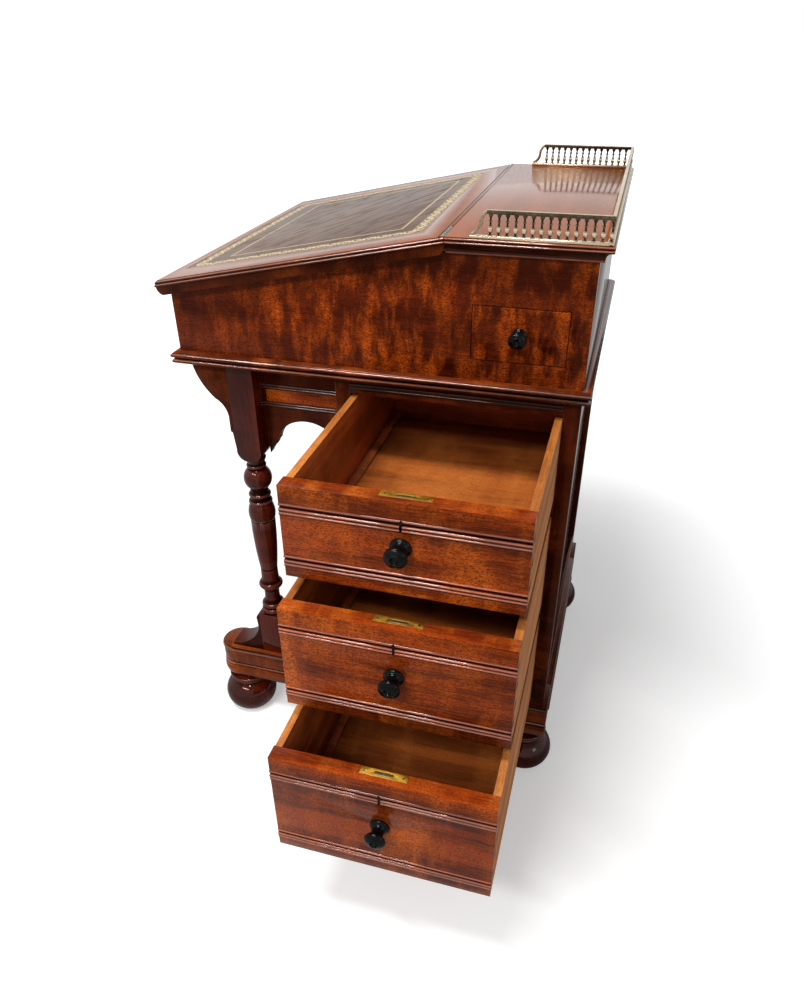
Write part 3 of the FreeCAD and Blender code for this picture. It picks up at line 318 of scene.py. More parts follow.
def material(name):
    """A new material, its tree and its shader."""
    made = bpy.data.materials.new(name)
    made.use_nodes = True
    return made, made.node_tree, made.node_tree.nodes["Principled BSDF"]


# %% [markdown]
# ## Wood grain
#
# Mahogany shows five things at five sizes: broad clouds of colour, a figure of bright patches
# that lie across the grain, fine fibres along it, short dark ticks, and pores. Each is one noise.
# The fibres and pores come from squeezing space along the grain, so that round spots are drawn
# out into streaks; the figure comes from stretching it the other way. One group holds them all
# and every wood on the desk uses it with its own colours.

# %% The grain group
tree, given = group("wood_grain", {"Place": "Vector", "Grain": "Vector", "Board": "Float",
                                   "Figure Size": "Float"})
shift = add(tree, "ShaderNodeCombineXYZ",
            {axis: sums(tree, "MULTIPLY", given["Board"], share)
             for axis, share in enumerate((0.71, 0.37, 0.53))}).outputs[0]
spot = vectors(tree, "ADD", given["Place"], shift)
along = vectors(tree, "DOT_PRODUCT", spot, given["Grain"])
run = vectors(tree, "SCALE", given["Grain"], along)
drawn_out = vectors(tree, "SUBTRACT", spot, vectors(tree, "SCALE", run, 0.93))
dashed = vectors(tree, "SUBTRACT", spot, vectors(tree, "SCALE", run, 0.6))
crossed = vectors(tree, "ADD", spot, vectors(tree, "SCALE", run, 1.9))
figure = noise(tree, crossed, given["Figure Size"], 4, 0.55, 0.15)
zones = ramp(tree, noise(tree, spot, 7, 1), 0.35, 0.62, 0.3, 1)
patches = sums(tree, "MULTIPLY", ramp(tree, figure, 0.40, 0.68), zones)
feather = ramp(tree, noise(tree, dashed, 210, 2), 0.3, 0.66, 0.55, 1)
give(tree, {
    "Figure": sums(tree, "MULTIPLY", patches, feather),
    "Clouds": noise(tree, drawn_out, 26, 2, 0.5, 0.2),
    "Fibres": noise(tree, drawn_out, 420, 3, 0.6),
    "Ticks": ramp(tree, noise(tree, dashed, 850, 2, 0.6), 0.47, 0.60),
    "Pores": ramp(tree, noise(tree, drawn_out, 1700, 1), 0.62, 0.72)})
grain_tree = tree

# %% [markdown]
# ## Wear, wax and painted light
#
# Two things are painted on every finish here, wood and brass alike: pale crests, partly polish
# rubbed by hands and partly a painted highlight, and black grooves, partly old wax and partly
# painted shade. Each finish could read the faces' numbers for itself, but one group does it for all
# and gives masks. A finish says how strongly its crests are painted pale and its grooves black, and
# mixes in its own colours. A sharpness above 1 keeps the paler paint to the very tops of the
# crests.

# %% The group for wear, wax and painted light
tree, given = group("wear_wax_and_painted_light", {"Sharpness": "Float", "Rub And Highlight Amount": "Float", "Wax And Shade Amount": "Float"})
arris = add(tree, "ShaderNodeAttribute", attribute_name="arris").outputs["Fac"]
groove = add(tree, "ShaderNodeAttribute", attribute_name="crease").outputs["Fac"]
crest = sums(tree, "POWER", arris, given["Sharpness"])
give(tree, {"Crest": crest, "Groove": groove,
            "Rub And Highlight": sums(tree, "MULTIPLY", crest, given["Rub And Highlight Amount"]),
            "Wax And Shade": sums(tree, "MULTIPLY", groove, given["Wax And Shade Amount"])})
wear_and_light_tree = tree

# %% [markdown]
# ## Polished and plain woods
#
# French polish is a thin, clear, glossy film over coloured wood. It could be a clear coat all over,
# but that greys dark wood wherever it mirrors something pale. So the wood itself is smooth, bends
# light only a little and tints its reflections red, and a clear coat lies only on the crests of
# beads, where light draws thin lines, and on turned wood. The pores are faint dents. Plain wood
# inside the drawers is rough and has neither tint nor coat.

# %% A wood finish
# Black painted in grooves: partly old wax, partly painted shade.
WAX_AND_SHADE_BLACK = (0.004, 0.0015, 0.001)
# Crests are painted paler from the board's colour: partly rubbed polish, partly a painted
# highlight.
RUB_AND_HIGHLIGHT_UP, RUB_AND_HIGHLIGHT_MORE = 1.5, (0.26, 0.18, 0.15)    # a rubbed crest's colour from the board's
POLISH_TINT = (1.0, 0.28, 0.12, 1)
POLISHED = 0.3                                      # below this roughness a wood is polished


def wood(name, deep, body, flame, figured, ticked, gloss, figure_size=11, wear_and_highlight=0.25, polish=1.4,
         lacquer=0.0):
    """A wood from its darkest, middle and brightest colour.

    Figured and ticked are the strength of its figure and dark ticks, gloss its roughness, the wear
    number how pale its crests are painted, partly as rubbed polish and partly as a painted
    highlight, polish how it bends light, and lacquer its clear coat all over.
    """
    made, tree, shader = material(name)
    lines = add(tree, "ShaderNodeGroup", {
        "Place": add(tree, "ShaderNodeTexCoord").outputs["Object"],
        "Grain": add(tree, "ShaderNodeAttribute", attribute_name="grain").outputs["Vector"],
        "Board": add(tree, "ShaderNodeAttribute", attribute_name="board").outputs["Fac"],
        "Figure Size": figure_size}, node_tree=grain_tree).outputs
    wear_and_light = add(tree, "ShaderNodeGroup", {"Sharpness": 2, "Rub And Highlight Amount": wear_and_highlight, "Wax And Shade Amount": 0.9},
               node_tree=wear_and_light_tree).outputs
    base = ramp(tree, lines["Clouds"], 0.36, 0.66)
    fine = ramp(tree, lines["Fibres"], 0.35, 0.65, -0.25, 0.25)
    tone = add(tree, "ShaderNodeClamp", {0: sums(tree, "ADD", base, fine)}).outputs[0]
    colour = mix(tree, tone, deep, body)
    colour = mix(tree, sums(tree, "MULTIPLY", lines["Figure"], figured), colour, flame)
    colour = mix(tree, sums(tree, "MULTIPLY", lines["Ticks"], ticked), colour, deep)
    colour = mix(tree, sums(tree, "MULTIPLY", lines["Pores"], 0.4), colour,
                 tuple(0.4*part for part in deep))
    # Pale crests, partly rubbed polish and partly a painted highlight, and black grooves, partly
    # old wax and partly painted shade.
    rubbed_highlight = tuple(min(1, RUB_AND_HIGHLIGHT_UP*part + more) for part, more in zip(body, RUB_AND_HIGHLIGHT_MORE))
    colour = mix(tree, wear_and_light["Rub And Highlight"], colour, rubbed_highlight)
    colour = mix(tree, wear_and_light["Wax And Shade"], colour, WAX_AND_SHADE_BLACK)
    tree.links.new(colour, shader.inputs["Base Color"])
    tree.links.new(ramp(tree, lines["Fibres"], 0.3, 0.7, gloss, gloss + 0.06),
                   shader.inputs["Roughness"])
    dents = add(tree, "ShaderNodeBump", {"Height": lines["Pores"], "Distance": 0.00003,
                "Strength": 0.4}, invert=True)
    tree.links.new(dents.outputs[0], shader.inputs["Normal"])
    shader.inputs["IOR"].default_value = polish
    if gloss < POLISHED:
        shader.inputs["Specular Tint"].default_value = POLISH_TINT
        shader.inputs["Coat Roughness"].default_value = 0.06
        shader.inputs["Coat IOR"].default_value = 1.5 if lacquer else 1.7
        film = sums(tree, "MAXIMUM", wear_and_light["Crest"], lacquer)
        clean = sums(tree, "SUBTRACT", 1.0, wear_and_light["Groove"])
        tree.links.new(sums(tree, "MULTIPLY", film, clean), shader.inputs["Coat Weight"])
    return made


plain_mahogany = wood("plain_mahogany", (0.018, 0.0026, 0.0014), (0.064, 0.0098, 0.0035),
                      (0.28, 0.052, 0.008), 0.5, 0.3, 0.10, wear_and_highlight=0.3, polish=1.25)
warm_mahogany = wood("warm_mahogany", (0.060, 0.010, 0.003), (0.21, 0.038, 0.008),
                     (0.46, 0.100, 0.012), 0.55, 0.4, 0.10, wear_and_highlight=0.3, polish=1.3)
turned_mahogany = wood("turned_mahogany", (0.024, 0.0024, 0.0014), (0.080, 0.0075, 0.0032),
                       (0.24, 0.032, 0.007), 0.3, 0.2, 0.04, wear_and_highlight=0.15, polish=1.2, lacquer=0.4)
side_mahogany = wood("flame_mahogany", (0.030, 0.0036, 0.0016), (0.115, 0.0150, 0.0032),
                     (0.54, 0.088, 0.007), 0.85, 0.75, 0.12, 16, polish=1.32)
front_mahogany = wood("front_mahogany", (0.070, 0.010, 0.0025), (0.36, 0.056, 0.007),
                      (0.78, 0.165, 0.013), 0.65, 0.75, 0.12, 9, wear_and_highlight=0.3, polish=1.35)
# Lighter wood for the drawer fronts' top edges: partly unpolished wood, partly painted light from
# above.
edge_mahogany = wood("edge_mahogany", (0.12, 0.015, 0.003), (0.40, 0.058, 0.006),
                     (0.74, 0.175, 0.018), 0.7, 0.6, 0.2)
# Pinkish brown for the top's up-facing faces: partly bleached wood, partly a painted sheen.
bleached_sheen_mahogany = wood("bleached_sheen_mahogany", (0.19, 0.050, 0.014), (0.265, 0.075, 0.021),
                    (0.33, 0.11, 0.03), 0.3, 0.1, 0.08, 8, 0.15, 1.36)
cedar = wood("cedar", (0.17, 0.030, 0.005), (0.50, 0.110, 0.019),
             (0.58, 0.16, 0.033), 0.35, 0.3, 0.40, 9)
# Lighter cedar for the drawer sides' top edges: partly rubbed, partly painted light from above.
rubbed_lit_cedar = wood("rubbed_lit_cedar", (0.28, 0.080, 0.014), (0.60, 0.200, 0.036),
                    (0.84, 0.33, 0.075), 0.6, 0.5, 0.38, 9)
honey_wood = wood("honey_wood", (0.18, 0.042, 0.008), (0.46, 0.118, 0.021),
                  (0.72, 0.230, 0.042), 0.5, 0.4, 0.36, 6)
raw_wood = wood("raw_side", (0.50, 0.19, 0.072), (0.76, 0.33, 0.135),
                (0.86, 0.44, 0.20), 0.3, 0.2, 0.75, 9, 0.1, 1.2)
print("woods that share the grain:", grain_tree.users)

# %% [markdown]
# ## Brass, ebonised wood and leather
#
# The gallery is old brass: bright where fingers rub it, with a painted highlight on its crests, and
# brown in between. Its stain is a noise mask that darkens the colour and roughens the surface. One
# brass could serve for all, but there are several: a dark one painted as shade on the spindles and
# the sides of the top rail, a bright one on the tops of the rails, partly rubbing and partly a
# painted sheen, yellow on the lock plates, dull on the bolts, darker partly to paint the shade of
# the lock's slot, and a pale matt gold for the tooling. The knobs are stained black and polished
# like a piano. The writing leather is a thin dyed hide, pebbled and unevenly faded, with soft
# creases that run aslant across it.

# %% The stain group and a brass finish
tree, given = group("brass_stain", {"Place": "Vector", "Stain": "Float", "Crest": "Float"})
spots = noise(tree, given["Place"], 260, 4, 0.6, 0.4)
drift = sums(tree, "MULTIPLY", noise(tree, given["Place"], 28, 2), 0.6)
mask = ramp(tree, sums(tree, "ADD", spots, drift), 0.62, 0.98, 0, given["Stain"])
kept = sums(tree, "SUBTRACT", 1.0, sums(tree, "MULTIPLY", given["Crest"], 0.7))
give(tree, {"Stained": sums(tree, "MULTIPLY", mask, kept),
            "Scratches": noise(tree, given["Place"], 1800, 2)})
stain_tree = tree
# Crests are painted bright, partly rubbing and partly a painted highlight; grooves near black,
# partly grime and partly painted shade.
RUB_AND_HIGHLIGHT_BRIGHT, GRIME_AND_SHADE = (0.88, 0.72, 0.50), (0.012, 0.008, 0.005)


def brass(name, bright, stained, gloss, stain):
    """Brass with a brown stain where nothing rubs it."""
    made, tree, shader = material(name)
    wear_and_light = add(tree, "ShaderNodeGroup", {"Sharpness": 1, "Rub And Highlight Amount": 0.8, "Wax And Shade Amount": 0.85},
               node_tree=wear_and_light_tree).outputs
    marks = add(tree, "ShaderNodeGroup", {"Stain": stain, "Crest": wear_and_light["Crest"],
                "Place": add(tree, "ShaderNodeTexCoord").outputs["Object"]},
                node_tree=stain_tree).outputs
    colour = mix(tree, marks["Stained"], bright, stained)
    # Paint rubbed highlights on the crests, and grime and shade in the grooves.
    colour = mix(tree, wear_and_light["Rub And Highlight"], colour, RUB_AND_HIGHLIGHT_BRIGHT)
    colour = mix(tree, wear_and_light["Wax And Shade"], colour, GRIME_AND_SHADE)
    tree.links.new(colour, shader.inputs["Base Color"])
    tree.links.new(ramp(tree, marks["Stained"], 0, 1, gloss, gloss + 0.3),
                   shader.inputs["Roughness"])
    scratches = add(tree, "ShaderNodeBump", {"Height": marks["Scratches"],
                    "Distance": 0.00002, "Strength": 0.35})
    tree.links.new(scratches.outputs[0], shader.inputs["Normal"])
    shader.inputs["Metallic"].default_value = 1.0
    return made


aged_brass = brass("aged_brass", (0.46, 0.35, 0.23), (0.14, 0.10, 0.06), 0.14, 0.7)
# Dark brass, painted as shade, for the spindles and the sides of the top rail.
shaded_brass = brass("shaded_brass", (0.13, 0.095, 0.055), (0.03, 0.022, 0.014), 0.12, 0.8)
# Bright brass for the tops of the rails: partly rubbing, partly a painted sheen.
rubbed_sheen_brass = brass("rubbed_sheen_brass", (0.76, 0.60, 0.42), (0.42, 0.31, 0.19), 0.18, 0.5)
lock_brass = brass("lock_brass", (0.84, 0.52, 0.07), (0.54, 0.31, 0.04), 0.34, 0.7)
# Dull brass for the bolts, darker partly to paint the shade of the lock's slot.
dull_brass = brass("dull_brass", (0.24, 0.17, 0.07), (0.09, 0.06, 0.03), 0.4, 0.8)
gilding = brass("gilding", (0.82, 0.68, 0.42), (0.52, 0.40, 0.21), 0.5, 0.4)
print("brasses that share the stain:", stain_tree.users)


# %% Ebonised wood and leather
ebonised, tree, shader = material("ebonised_wood")
place = add(tree, "ShaderNodeTexCoord").outputs["Object"]
handled = ramp(tree, noise(tree, place, 60, 3), 0.4, 0.7)
tree.links.new(mix(tree, handled, (0.0015, 0.0015, 0.002), (0.005, 0.0045, 0.004)),
               shader.inputs["Base Color"])
tree.links.new(ramp(tree, handled, 0, 1, 0.05, 0.12), shader.inputs["Roughness"])
shader.inputs["IOR"].default_value = 1.2

hide, tree, shader = material("writing_hide")
place = add(tree, "ShaderNodeTexCoord").outputs["Object"]
pebbles = add(tree, "ShaderNodeTexVoronoi", {"Vector": place, "Scale": 900.0},
              feature="SMOOTH_F1").outputs["Distance"]
squeezed = add(tree, "ShaderNodeMapping", {"Vector": place, "Rotation": (0, 0, 1.0),
               "Scale": (0.14, 1.2, 0.5)}, vector_type="TEXTURE").outputs[0]
creases = ramp(tree, noise(tree, squeezed, 20, 5, 0.62, 0.3), 0.47, 0.66)
faded = ramp(tree, noise(tree, place, 8, 3), 0.3, 0.7)
colour = mix(tree, faded, (0.092, 0.047, 0.028), (0.128, 0.069, 0.041))
colour = mix(tree, sums(tree, "MULTIPLY", creases, 0.42), colour, (0.020, 0.010, 0.007))
tree.links.new(colour, shader.inputs["Base Color"])
tree.links.new(ramp(tree, creases, 0, 1, 0.38, 0.60), shader.inputs["Roughness"])
height = sums(tree, "ADD", pebbles, sums(tree, "MULTIPLY", creases, -0.6))
swell = add(tree, "ShaderNodeBump", {"Height": height, "Distance": 0.00015, "Strength": 0.4})
tree.links.new(swell.outputs[0], shader.inputs["Normal"])
print("finishes:", len(bpy.data.materials))

# %% [markdown]
# ## Dressing the solids
#
# Each piece of the desk now takes its finish. That could be one call after another, but a table
# is easier to read over. It says, for each solid, its finish, how far its arrises are eased in
# millimetres, and the way its grain runs where that is not along its longest side: turned pieces
# are turned with the grain upright, and the grain of drawer fronts and floors runs along Y.

# %% The pieces and their finishes
X_WAY, Y_WAY, Z_WAY = 0, 1, 2


def each_drawer(part, *how):
    """The same treatment for one part of all three drawers."""
    return {f"drawer_{number}_{part}": how for number in (1, 2, 3)}


DRESS = {
    warm_mahogany: {
        "base_side_left": (0.5, None), "base_side_right": (0.5, None),
        "base_cross_rails": (0.5, None), "waist_moulding": (0.3, None),
        "fixed_top": (0.3, X_WAY), "lid_board": (0.3, X_WAY)},
    plain_mahogany: {
        "corner_posts": (0.6, None),
        "leg_brackets_upper": (0.8, Z_WAY), "leg_brackets_lower": (0.8, Z_WAY),
        "apron_left": (0.8, Y_WAY), "apron_right": (0.8, Y_WAY), "apron_beads": (0.3, None),
        "right_drawer_rails": (0.4, Y_WAY), "left_drawer_rails": (0.4, Y_WAY),
        "pedestal_front_panel": (0.5, Z_WAY), "pedestal_back_rails": (0.8, None),
        "pedestal_back_panel": (0.5, Z_WAY), "case_back_board": (0.6, None)},
    turned_mahogany: {
        "bun_feet": (0.4, Z_WAY), "leg_left": (0.6, Z_WAY), "leg_right": (0.6, Z_WAY)},
    side_mahogany: {
        "case_side_left": (0.6, Y_WAY), "case_side_right": (0.5, Y_WAY),
        "case_front_board": (0.6, X_WAY), "pen_drawer_front": (0.5, Y_WAY)},
    front_mahogany: {
        "dummy_drawer_fronts": (0.3, Y_WAY), **each_drawer("front", 0.45, Y_WAY)},
    cedar: {
        "base_floor": (0.5, X_WAY), "case_floor_board": (0.5, X_WAY),
        "drawer_runners": (0.5, None), "pen_drawer_housing": (0.5, None),
        **each_drawer("carcase", 0.6, None)},
    honey_wood: {"pen_drawer_tray": (0.5, X_WAY), **each_drawer("floor", 0.4, Y_WAY)},
    lock_brass: each_drawer("lock", 0.15, None),
    dull_brass: each_drawer("bolt", 0.3, None),
    aged_brass: {
        "hinge_leaves_fixed": (0.1, None), "hinge_leaves_lid": (0.1, None),
        "hinge_pins": (0.1, None), "gallery_rails": (0.3, None)},
    hide: {"writing_leather": (0.3, None)},
}
body_of = {node: body for body, nodes in frame["record"]["behaviour"]["bodies"].items()
           for node in nodes}
dressed = {}
for finish, nodes in DRESS.items():
    for node, (width, way) in nodes.items():
        shape = joined(node)
        cut_from_boards(shape, node, way)
        ease(shape, width)
        dressed[node] = piece(node + "_dressed", shape, finish, body_of[node],
                              [node])
        print(node, len(dressed[node].data.polygons), "faces")

# %% [markdown]
# ## Faces that differ from the rest of their board
#
# The up-facing faces of the top are a pinkish brown, partly wood bleached by light and partly a
# painted sheen, while its moulded edges kept their red. The drawer sides were never polished
# outside, and their top edges and those of the drawer fronts are lighter, partly rubbed by hands
# and partly painted light from above. The gallery's rails are painted bright on top, partly
# rubbing and partly a painted sheen, and the sides of the top rail dark, as painted shade. A solid
# could be split to colour these faces, but a second material on the same mesh keeps each board
# one piece, as on the real desk.

# %% Bleached tops with a painted sheen, raw sides, and top edges painted lighter
JOINT_FROM, JOINT_TO = 94*MM, 104*MM         # the bead where the lid meets the fixed top
LIP_AREA = 500*MM*MM
FOOT_RAIL_TOP, TOP_RAIL_SIDE, SCROLL_END = 914*MM, 934.5*MM, 152*MM
SKIN, SLIP_WIDE = 1.5*MM, 11*MM


def in_joint(face):
    """Whether a face lies on the bead between the lid and the fixed top."""
    return (JOINT_FROM < face.center.y < JOINT_TO and face.normal.z > 0.1
            and abs(face.normal.x) < 0.1)


# The top's up-facing faces and the joint's bead take bleached wood with a painted sheen.
for node in ("lid_board", "fixed_top"):
    refinish(dressed[node], bleached_sheen_mahogany, lambda face: face.normal.z > 0.9 or in_joint(face))
    refinish(dressed[node], plain_mahogany,
             lambda face: abs(face.normal.x) > 0.98 and face.area > LIP_AREA)
# The tops of the rails are painted bright, partly rubbing and partly a painted sheen; the sides of
# the top rail are painted dark as shade.
refinish(dressed["gallery_rails"], rubbed_sheen_brass, lambda face: (
    face.normal.z > 0.3 or (face.center.z < FOOT_RAIL_TOP and face.normal.z > -0.3)))
refinish(dressed["gallery_rails"], shaded_brass, lambda face: (
    face.center.z > TOP_RAIL_SIDE and face.center.y > SCROLL_END and face.normal.z < 0.3))
for number in (1, 2, 3):
    low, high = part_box(f"drawer_{number}_carcase")
    outside = lambda face: (abs(face.normal.y) > 0.99
                            and min(face.center.y - low[1], high[1] - face.center.y) < 0.5*MM)
    upper = lambda face: face.normal.z > 0.5 and face.center.z > high[2] - SKIN
    refinish(dressed[f"drawer_{number}_carcase"], raw_wood, outside)
    # The top edges of the sides are painted lighter: partly rubbing, partly light from above.
    refinish(dressed[f"drawer_{number}_carcase"], rubbed_lit_cedar, upper)
    low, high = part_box(f"drawer_{number}_floor")
    refinish(dressed[f"drawer_{number}_floor"], cedar,
             lambda face: min(face.center.y - low[1], high[1] - face.center.y) < SLIP_WIDE)
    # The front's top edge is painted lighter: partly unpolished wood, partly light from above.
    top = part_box(f"drawer_{number}_front")[1][2]
    refinish(dressed[f"drawer_{number}_front"], edge_mahogany,
             lambda face: face.normal.z > 0.5 and face.center.z > top - SKIN)
    finishes = dressed[f"drawer_{number}_carcase"].data.materials
    print("drawer", number, [made.name for made in finishes])

# %% [markdown]
# ## Old wax and painted shade, put on and wiped off
#
# Wax stays wherever a cloth can't go: in the fine joint round the pen drawer and beside the bead at
# the lid's joint. The walls of the keyholes and the cove under the fixed top are painted black as
# shade, and each bead is painted dark as shade on every side but its upper slope, which is left
# clean to catch the light. The rule for narrow strips doesn't know these places. A second material
# could be put there, but the faces carry a number for wax and shade, so it is enough to change that
# number.

# %% Old wax in the joints, painted shade in the keyholes, the cove and the beads but their upper sides
# The upper slope of a bead that is left clean; beads are painted dark as shade away from it.
CLEAN_LIT_SLOPE, CLEAN_LIT_EITHER_WAY, WAX_AND_SHADE_RISE = 0.52, 0.2, 3.2
DRAWER_MIDDLE = 115.25    # where the knobs and locks stand, along Y
EYE_DOWN = 27.1           # from the top of a drawer front to the middle of its keyhole's eye


def paint_wax_and_shade(node, chosen, amount=1):
    """Blacken the faces that a test picks out, or wipe them clean with an amount of 0."""
    mesh = dressed[node].data
    found = [face.index for face in mesh.polygons if chosen(face)]
    for index in found:
        mesh.attributes["crease"].data[index].value = amount
    print(node, len(found), "faces with wax", amount)


def wipe_and_shade_beads(node):
    """Paint each bead dark as shade except on its upper slope, which stays clean to catch the
    light.
    """
    mesh = dressed[node].data
    wear_and_highlight, wax_and_shade = mesh.attributes["arris"].data, mesh.attributes["crease"].data
    for face in mesh.polygons:
        if wear_and_highlight[face.index].value > ARRIS_WEAR_AND_HIGHLIGHT:
            off = abs(face.normal.z - CLEAN_LIT_SLOPE)
            wax_and_shade[face.index].value = min(0.95, max(0, WAX_AND_SHADE_RISE*(off - CLEAN_LIT_EITHER_WAY)))


# Paint the beads dark as shade, all but their upper slopes.
for node in ("lid_board", "fixed_top", "waist_moulding", "apron_beads", "dummy_drawer_fronts",
             "drawer_1_front", "drawer_2_front", "drawer_3_front"):
    wipe_and_shade_beads(node)
low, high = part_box("pen_drawer_front")
joint = lambda face: (
    high[0] - 0.6*MM < face.center.x and face.normal.x < 0.99
    and all(low[i] - SKIN < face.center[i] < high[i] + SKIN for i in (1, 2)))
paint_wax_and_shade("pen_drawer_front", joint)
paint_wax_and_shade("case_side_right", joint)
paint_wax_and_shade("lid_board", lambda face: in_joint(face) and face.normal.y < 0.6, 0)
paint_wax_and_shade("lid_board", lambda face: 91.5*MM < face.center.y < 94.2*MM and abs(face.normal.x) < 0.1
    and 0.1 < face.normal.z < 0.95)
# Paint the cove under the fixed top black as shade.
paint_wax_and_shade("fixed_top", lambda face: -0.95 < face.normal.z < -0.1)
mesh = dressed["lid_board"].data
for face in filter(in_joint, mesh.polygons):
    mesh.attributes["arris"].data[face.index].value = 0
# Paint the walls of each keyhole black as the shade inside the hole.
for number in (1, 2, 3):
    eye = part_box(f"drawer_{number}_front")[1][2] - EYE_DOWN*MM
    paint_wax_and_shade(f"drawer_{number}_front", lambda face: (
        abs(face.center.y - DRAWER_MIDDLE*MM) < 3.2*MM and abs(face.normal.x) < 0.9
        and eye - 11.5*MM < face.center.z < eye + 3.2*MM))

# %% [markdown]
# ## Rows of one shape
#
# A gallery has dozens of the same spindle and a drawer front a row of the same dovetail. Copying
# them one by one would work, but a small node tree that repeats one shape along a line needs only
# a count and a step, and can be used again. Its result is turned into a plain mesh.

# %% A node tree that repeats a shape in a row
row_tree = bpy.data.node_groups.new("row_of_pieces", "GeometryNodeTree")
for label, kind in (("Shape", "Geometry"), ("Count", "Int"), ("Start", "Vector"),
                    ("Step", "Vector"), ("Finish", "Material")):
    row_tree.interface.new_socket(name=label, in_out="INPUT", socket_type="NodeSocket" + kind)
row_tree.interface.new_socket(name="Row", in_out="OUTPUT", socket_type="NodeSocketGeometry")
entry = row_tree.nodes.new("NodeGroupInput").outputs
line = add(row_tree, "GeometryNodeMeshLine", {"Count": entry["Count"], "Offset": entry["Step"],
           "Start Location": entry["Start"]})
placed = add(row_tree, "GeometryNodeInstanceOnPoints",
             {"Points": line.outputs["Mesh"], "Instance": entry["Shape"]})
whole = add(row_tree, "GeometryNodeRealizeInstances", {"Geometry": placed.outputs["Instances"]})
covered = add(row_tree, "GeometryNodeSetMaterial", {"Geometry": whole.outputs["Geometry"],
              "Material": entry["Finish"]})
row_tree.links.new(covered.outputs["Geometry"], row_tree.nodes.new("NodeGroupOutput").inputs[0])
row_keys = {item.name: item.identifier for item in row_tree.interface.items_tree
            if item.in_out == "INPUT"}
print("row_of_pieces takes", ", ".join(row_keys))


def row(template, finish, count, start, step):
    """The mesh of a template shape repeated along a line. Lengths are in millimetres."""
    holder = put("row", template)
    modifier = holder.modifiers.new("row", "NODES")
    modifier.node_group = row_tree
    for key, value in (("Count", count), ("Start", tuple(MM*Vector(start))),
                       ("Step", tuple(MM*Vector(step))), ("Finish", finish)):
        modifier[row_keys[key]] = value
    seen = holder.evaluated_get(bpy.context.evaluated_depsgraph_get())
    mesh = bpy.data.meshes.new_from_object(seen)
    bpy.data.objects.remove(holder)
    return mesh


def gather(name, meshes, finish, body, stands_for=(), place=Matrix()):
    """Put rows of one body together as one piece."""
    shape = bmesh.new()
    for mesh in meshes:
        shape.from_mesh(mesh)
    shape.transform(place)
    made = piece(name, shape, finish, body, stands_for)
    print(name, len(made.data.polygons), "faces")
    return made


def flat_template(shape):
    """A mesh to repeat, made from a bmesh."""
    mesh = bpy.data.meshes.new("template")
    shape.to_mesh(mesh)
    shape.free()
    return mesh


# %% [markdown]
# ## Gallery spindles
#
# Each spindle is turned from brass rod: a foot, a thin neck, a pear-shaped belly, a pair of rings
# and a flared cap under the rail. The screw modifier could spin the profile, but rings of points
# let the colour follow the radius: the belly is painted bright, partly rubbing and partly a painted
# highlight, and the necks dark, partly tarnish and partly painted shade. Eight sides are enough at
# 25 mm high, and they keep the whole gallery light.

# %% Turn one spindle and repeat it on three sides
def turned(profile, sides):
    """A shape turned about the vertical from (radius, height) points, in millimetres."""
    shape = bmesh.new()
    turns = [2*math.pi*i/sides for i in range(sides)]
    rings = [[shape.verts.new((MM*radius*math.cos(t), MM*radius*math.sin(t), MM*height))
              for t in turns] for radius, height in profile]
    for low, high in zip(rings, rings[1:]):
        for i in range(sides):
            shape.faces.new((low[i], low[i - sides + 1], high[i - sides + 1], high[i]))
    shape.faces.new(rings[0][::-1])
    shape.faces.new(rings[-1])
    shape.normal_update()
    return shape


SPINDLE = [(2.7, 911), (2.7, 911.8), (1.1, 913.0), (1.3, 913.9), (2.3, 915.4), (2.9, 917.2),
           (3.0, 918.7), (2.6, 920.4), (1.8, 922.0), (1.2, 923.8), (1.0, 925.6), (1.2, 926.6),
           (2.1, 927.2), (2.1, 928.2), (1.2, 928.8), (1.1, 930.6), (1.7, 932.2), (2.7, 933.8),
           (2.7, 935.5)]
spindle = turned(SPINDLE, 8)
tarnish_and_shade, rubbed_highlight = (spindle.faces.layers.float.new(name) for name in ("crease", "arris"))
# Necks painted dark, partly tarnish and partly shade; bellies painted bright, partly rubbing and
# partly a highlight.
for face in spindle.faces:
    middle = face.calc_center_median()/MM
    radius = middle.xy.length
    face[tarnish_and_shade] = min(1, max(0, 2.1 - radius))
    face[rubbed_highlight] = min(1, max(0, 1.1*(radius - 1.7))) if middle.z < 930 else 0
spindle = flat_template(spindle)
RAIL_X, RAIL_Y = 262, 295    # the middle lines of the side rails and of the back rail
back_count, side_count, side_step = 57, 14, 9.96
back_step = 2*RAIL_X/(back_count - 1)
gather("turned_spindles",
       [row(spindle, shaded_brass, back_count, (-RAIL_X, RAIL_Y, 0), (back_step, 0, 0))]
       + [row(spindle, shaded_brass, side_count, (x, RAIL_Y - side_step, 0), (0, -side_step, 0))
          for x in (-RAIL_X, RAIL_X)],
       shaded_brass, "carcase", ["gallery_spindles"])

# %% [markdown]
# ## Ebonised knobs
#
# The knobs are turned from a close-grained wood, stained black and polished. Each has a broad foot
# against the drawer, a waist for the fingers and a round head with a small dished eye. The solids'
# own knobs could be kept, but highlights follow every curve, so they are turned again here with a
# finer profile than the solids need.

# %% Turn the knobs and place them
KNOB = [(11.6, 0), (12.6, 0.8), (13.2, 1.9), (13.3, 3.2), (12.6, 4.4), (11.3, 5.2), (10.2, 6.2),
        (9.2, 7.6), (8.5, 9.4), (8.2, 11.4), (8.3, 13.6), (8.9, 15.8), (10.2, 17.6), (11.8, 19.0),
        (13.2, 20.4), (14.0, 21.9), (14.2, 23.3), (13.8, 24.6), (12.9, 25.8), (11.6, 26.8),
        (10.0, 27.7), (8.4, 28.4), (7.2, 28.8), (6.6, 29.1), (6.1, 29.8), (5.5, 30.0), (4.9, 29.7),
        (4.4, 28.8), (3.9, 27.5), (3.1, 26.7), (1.9, 26.3), (0.3, 26.2)]


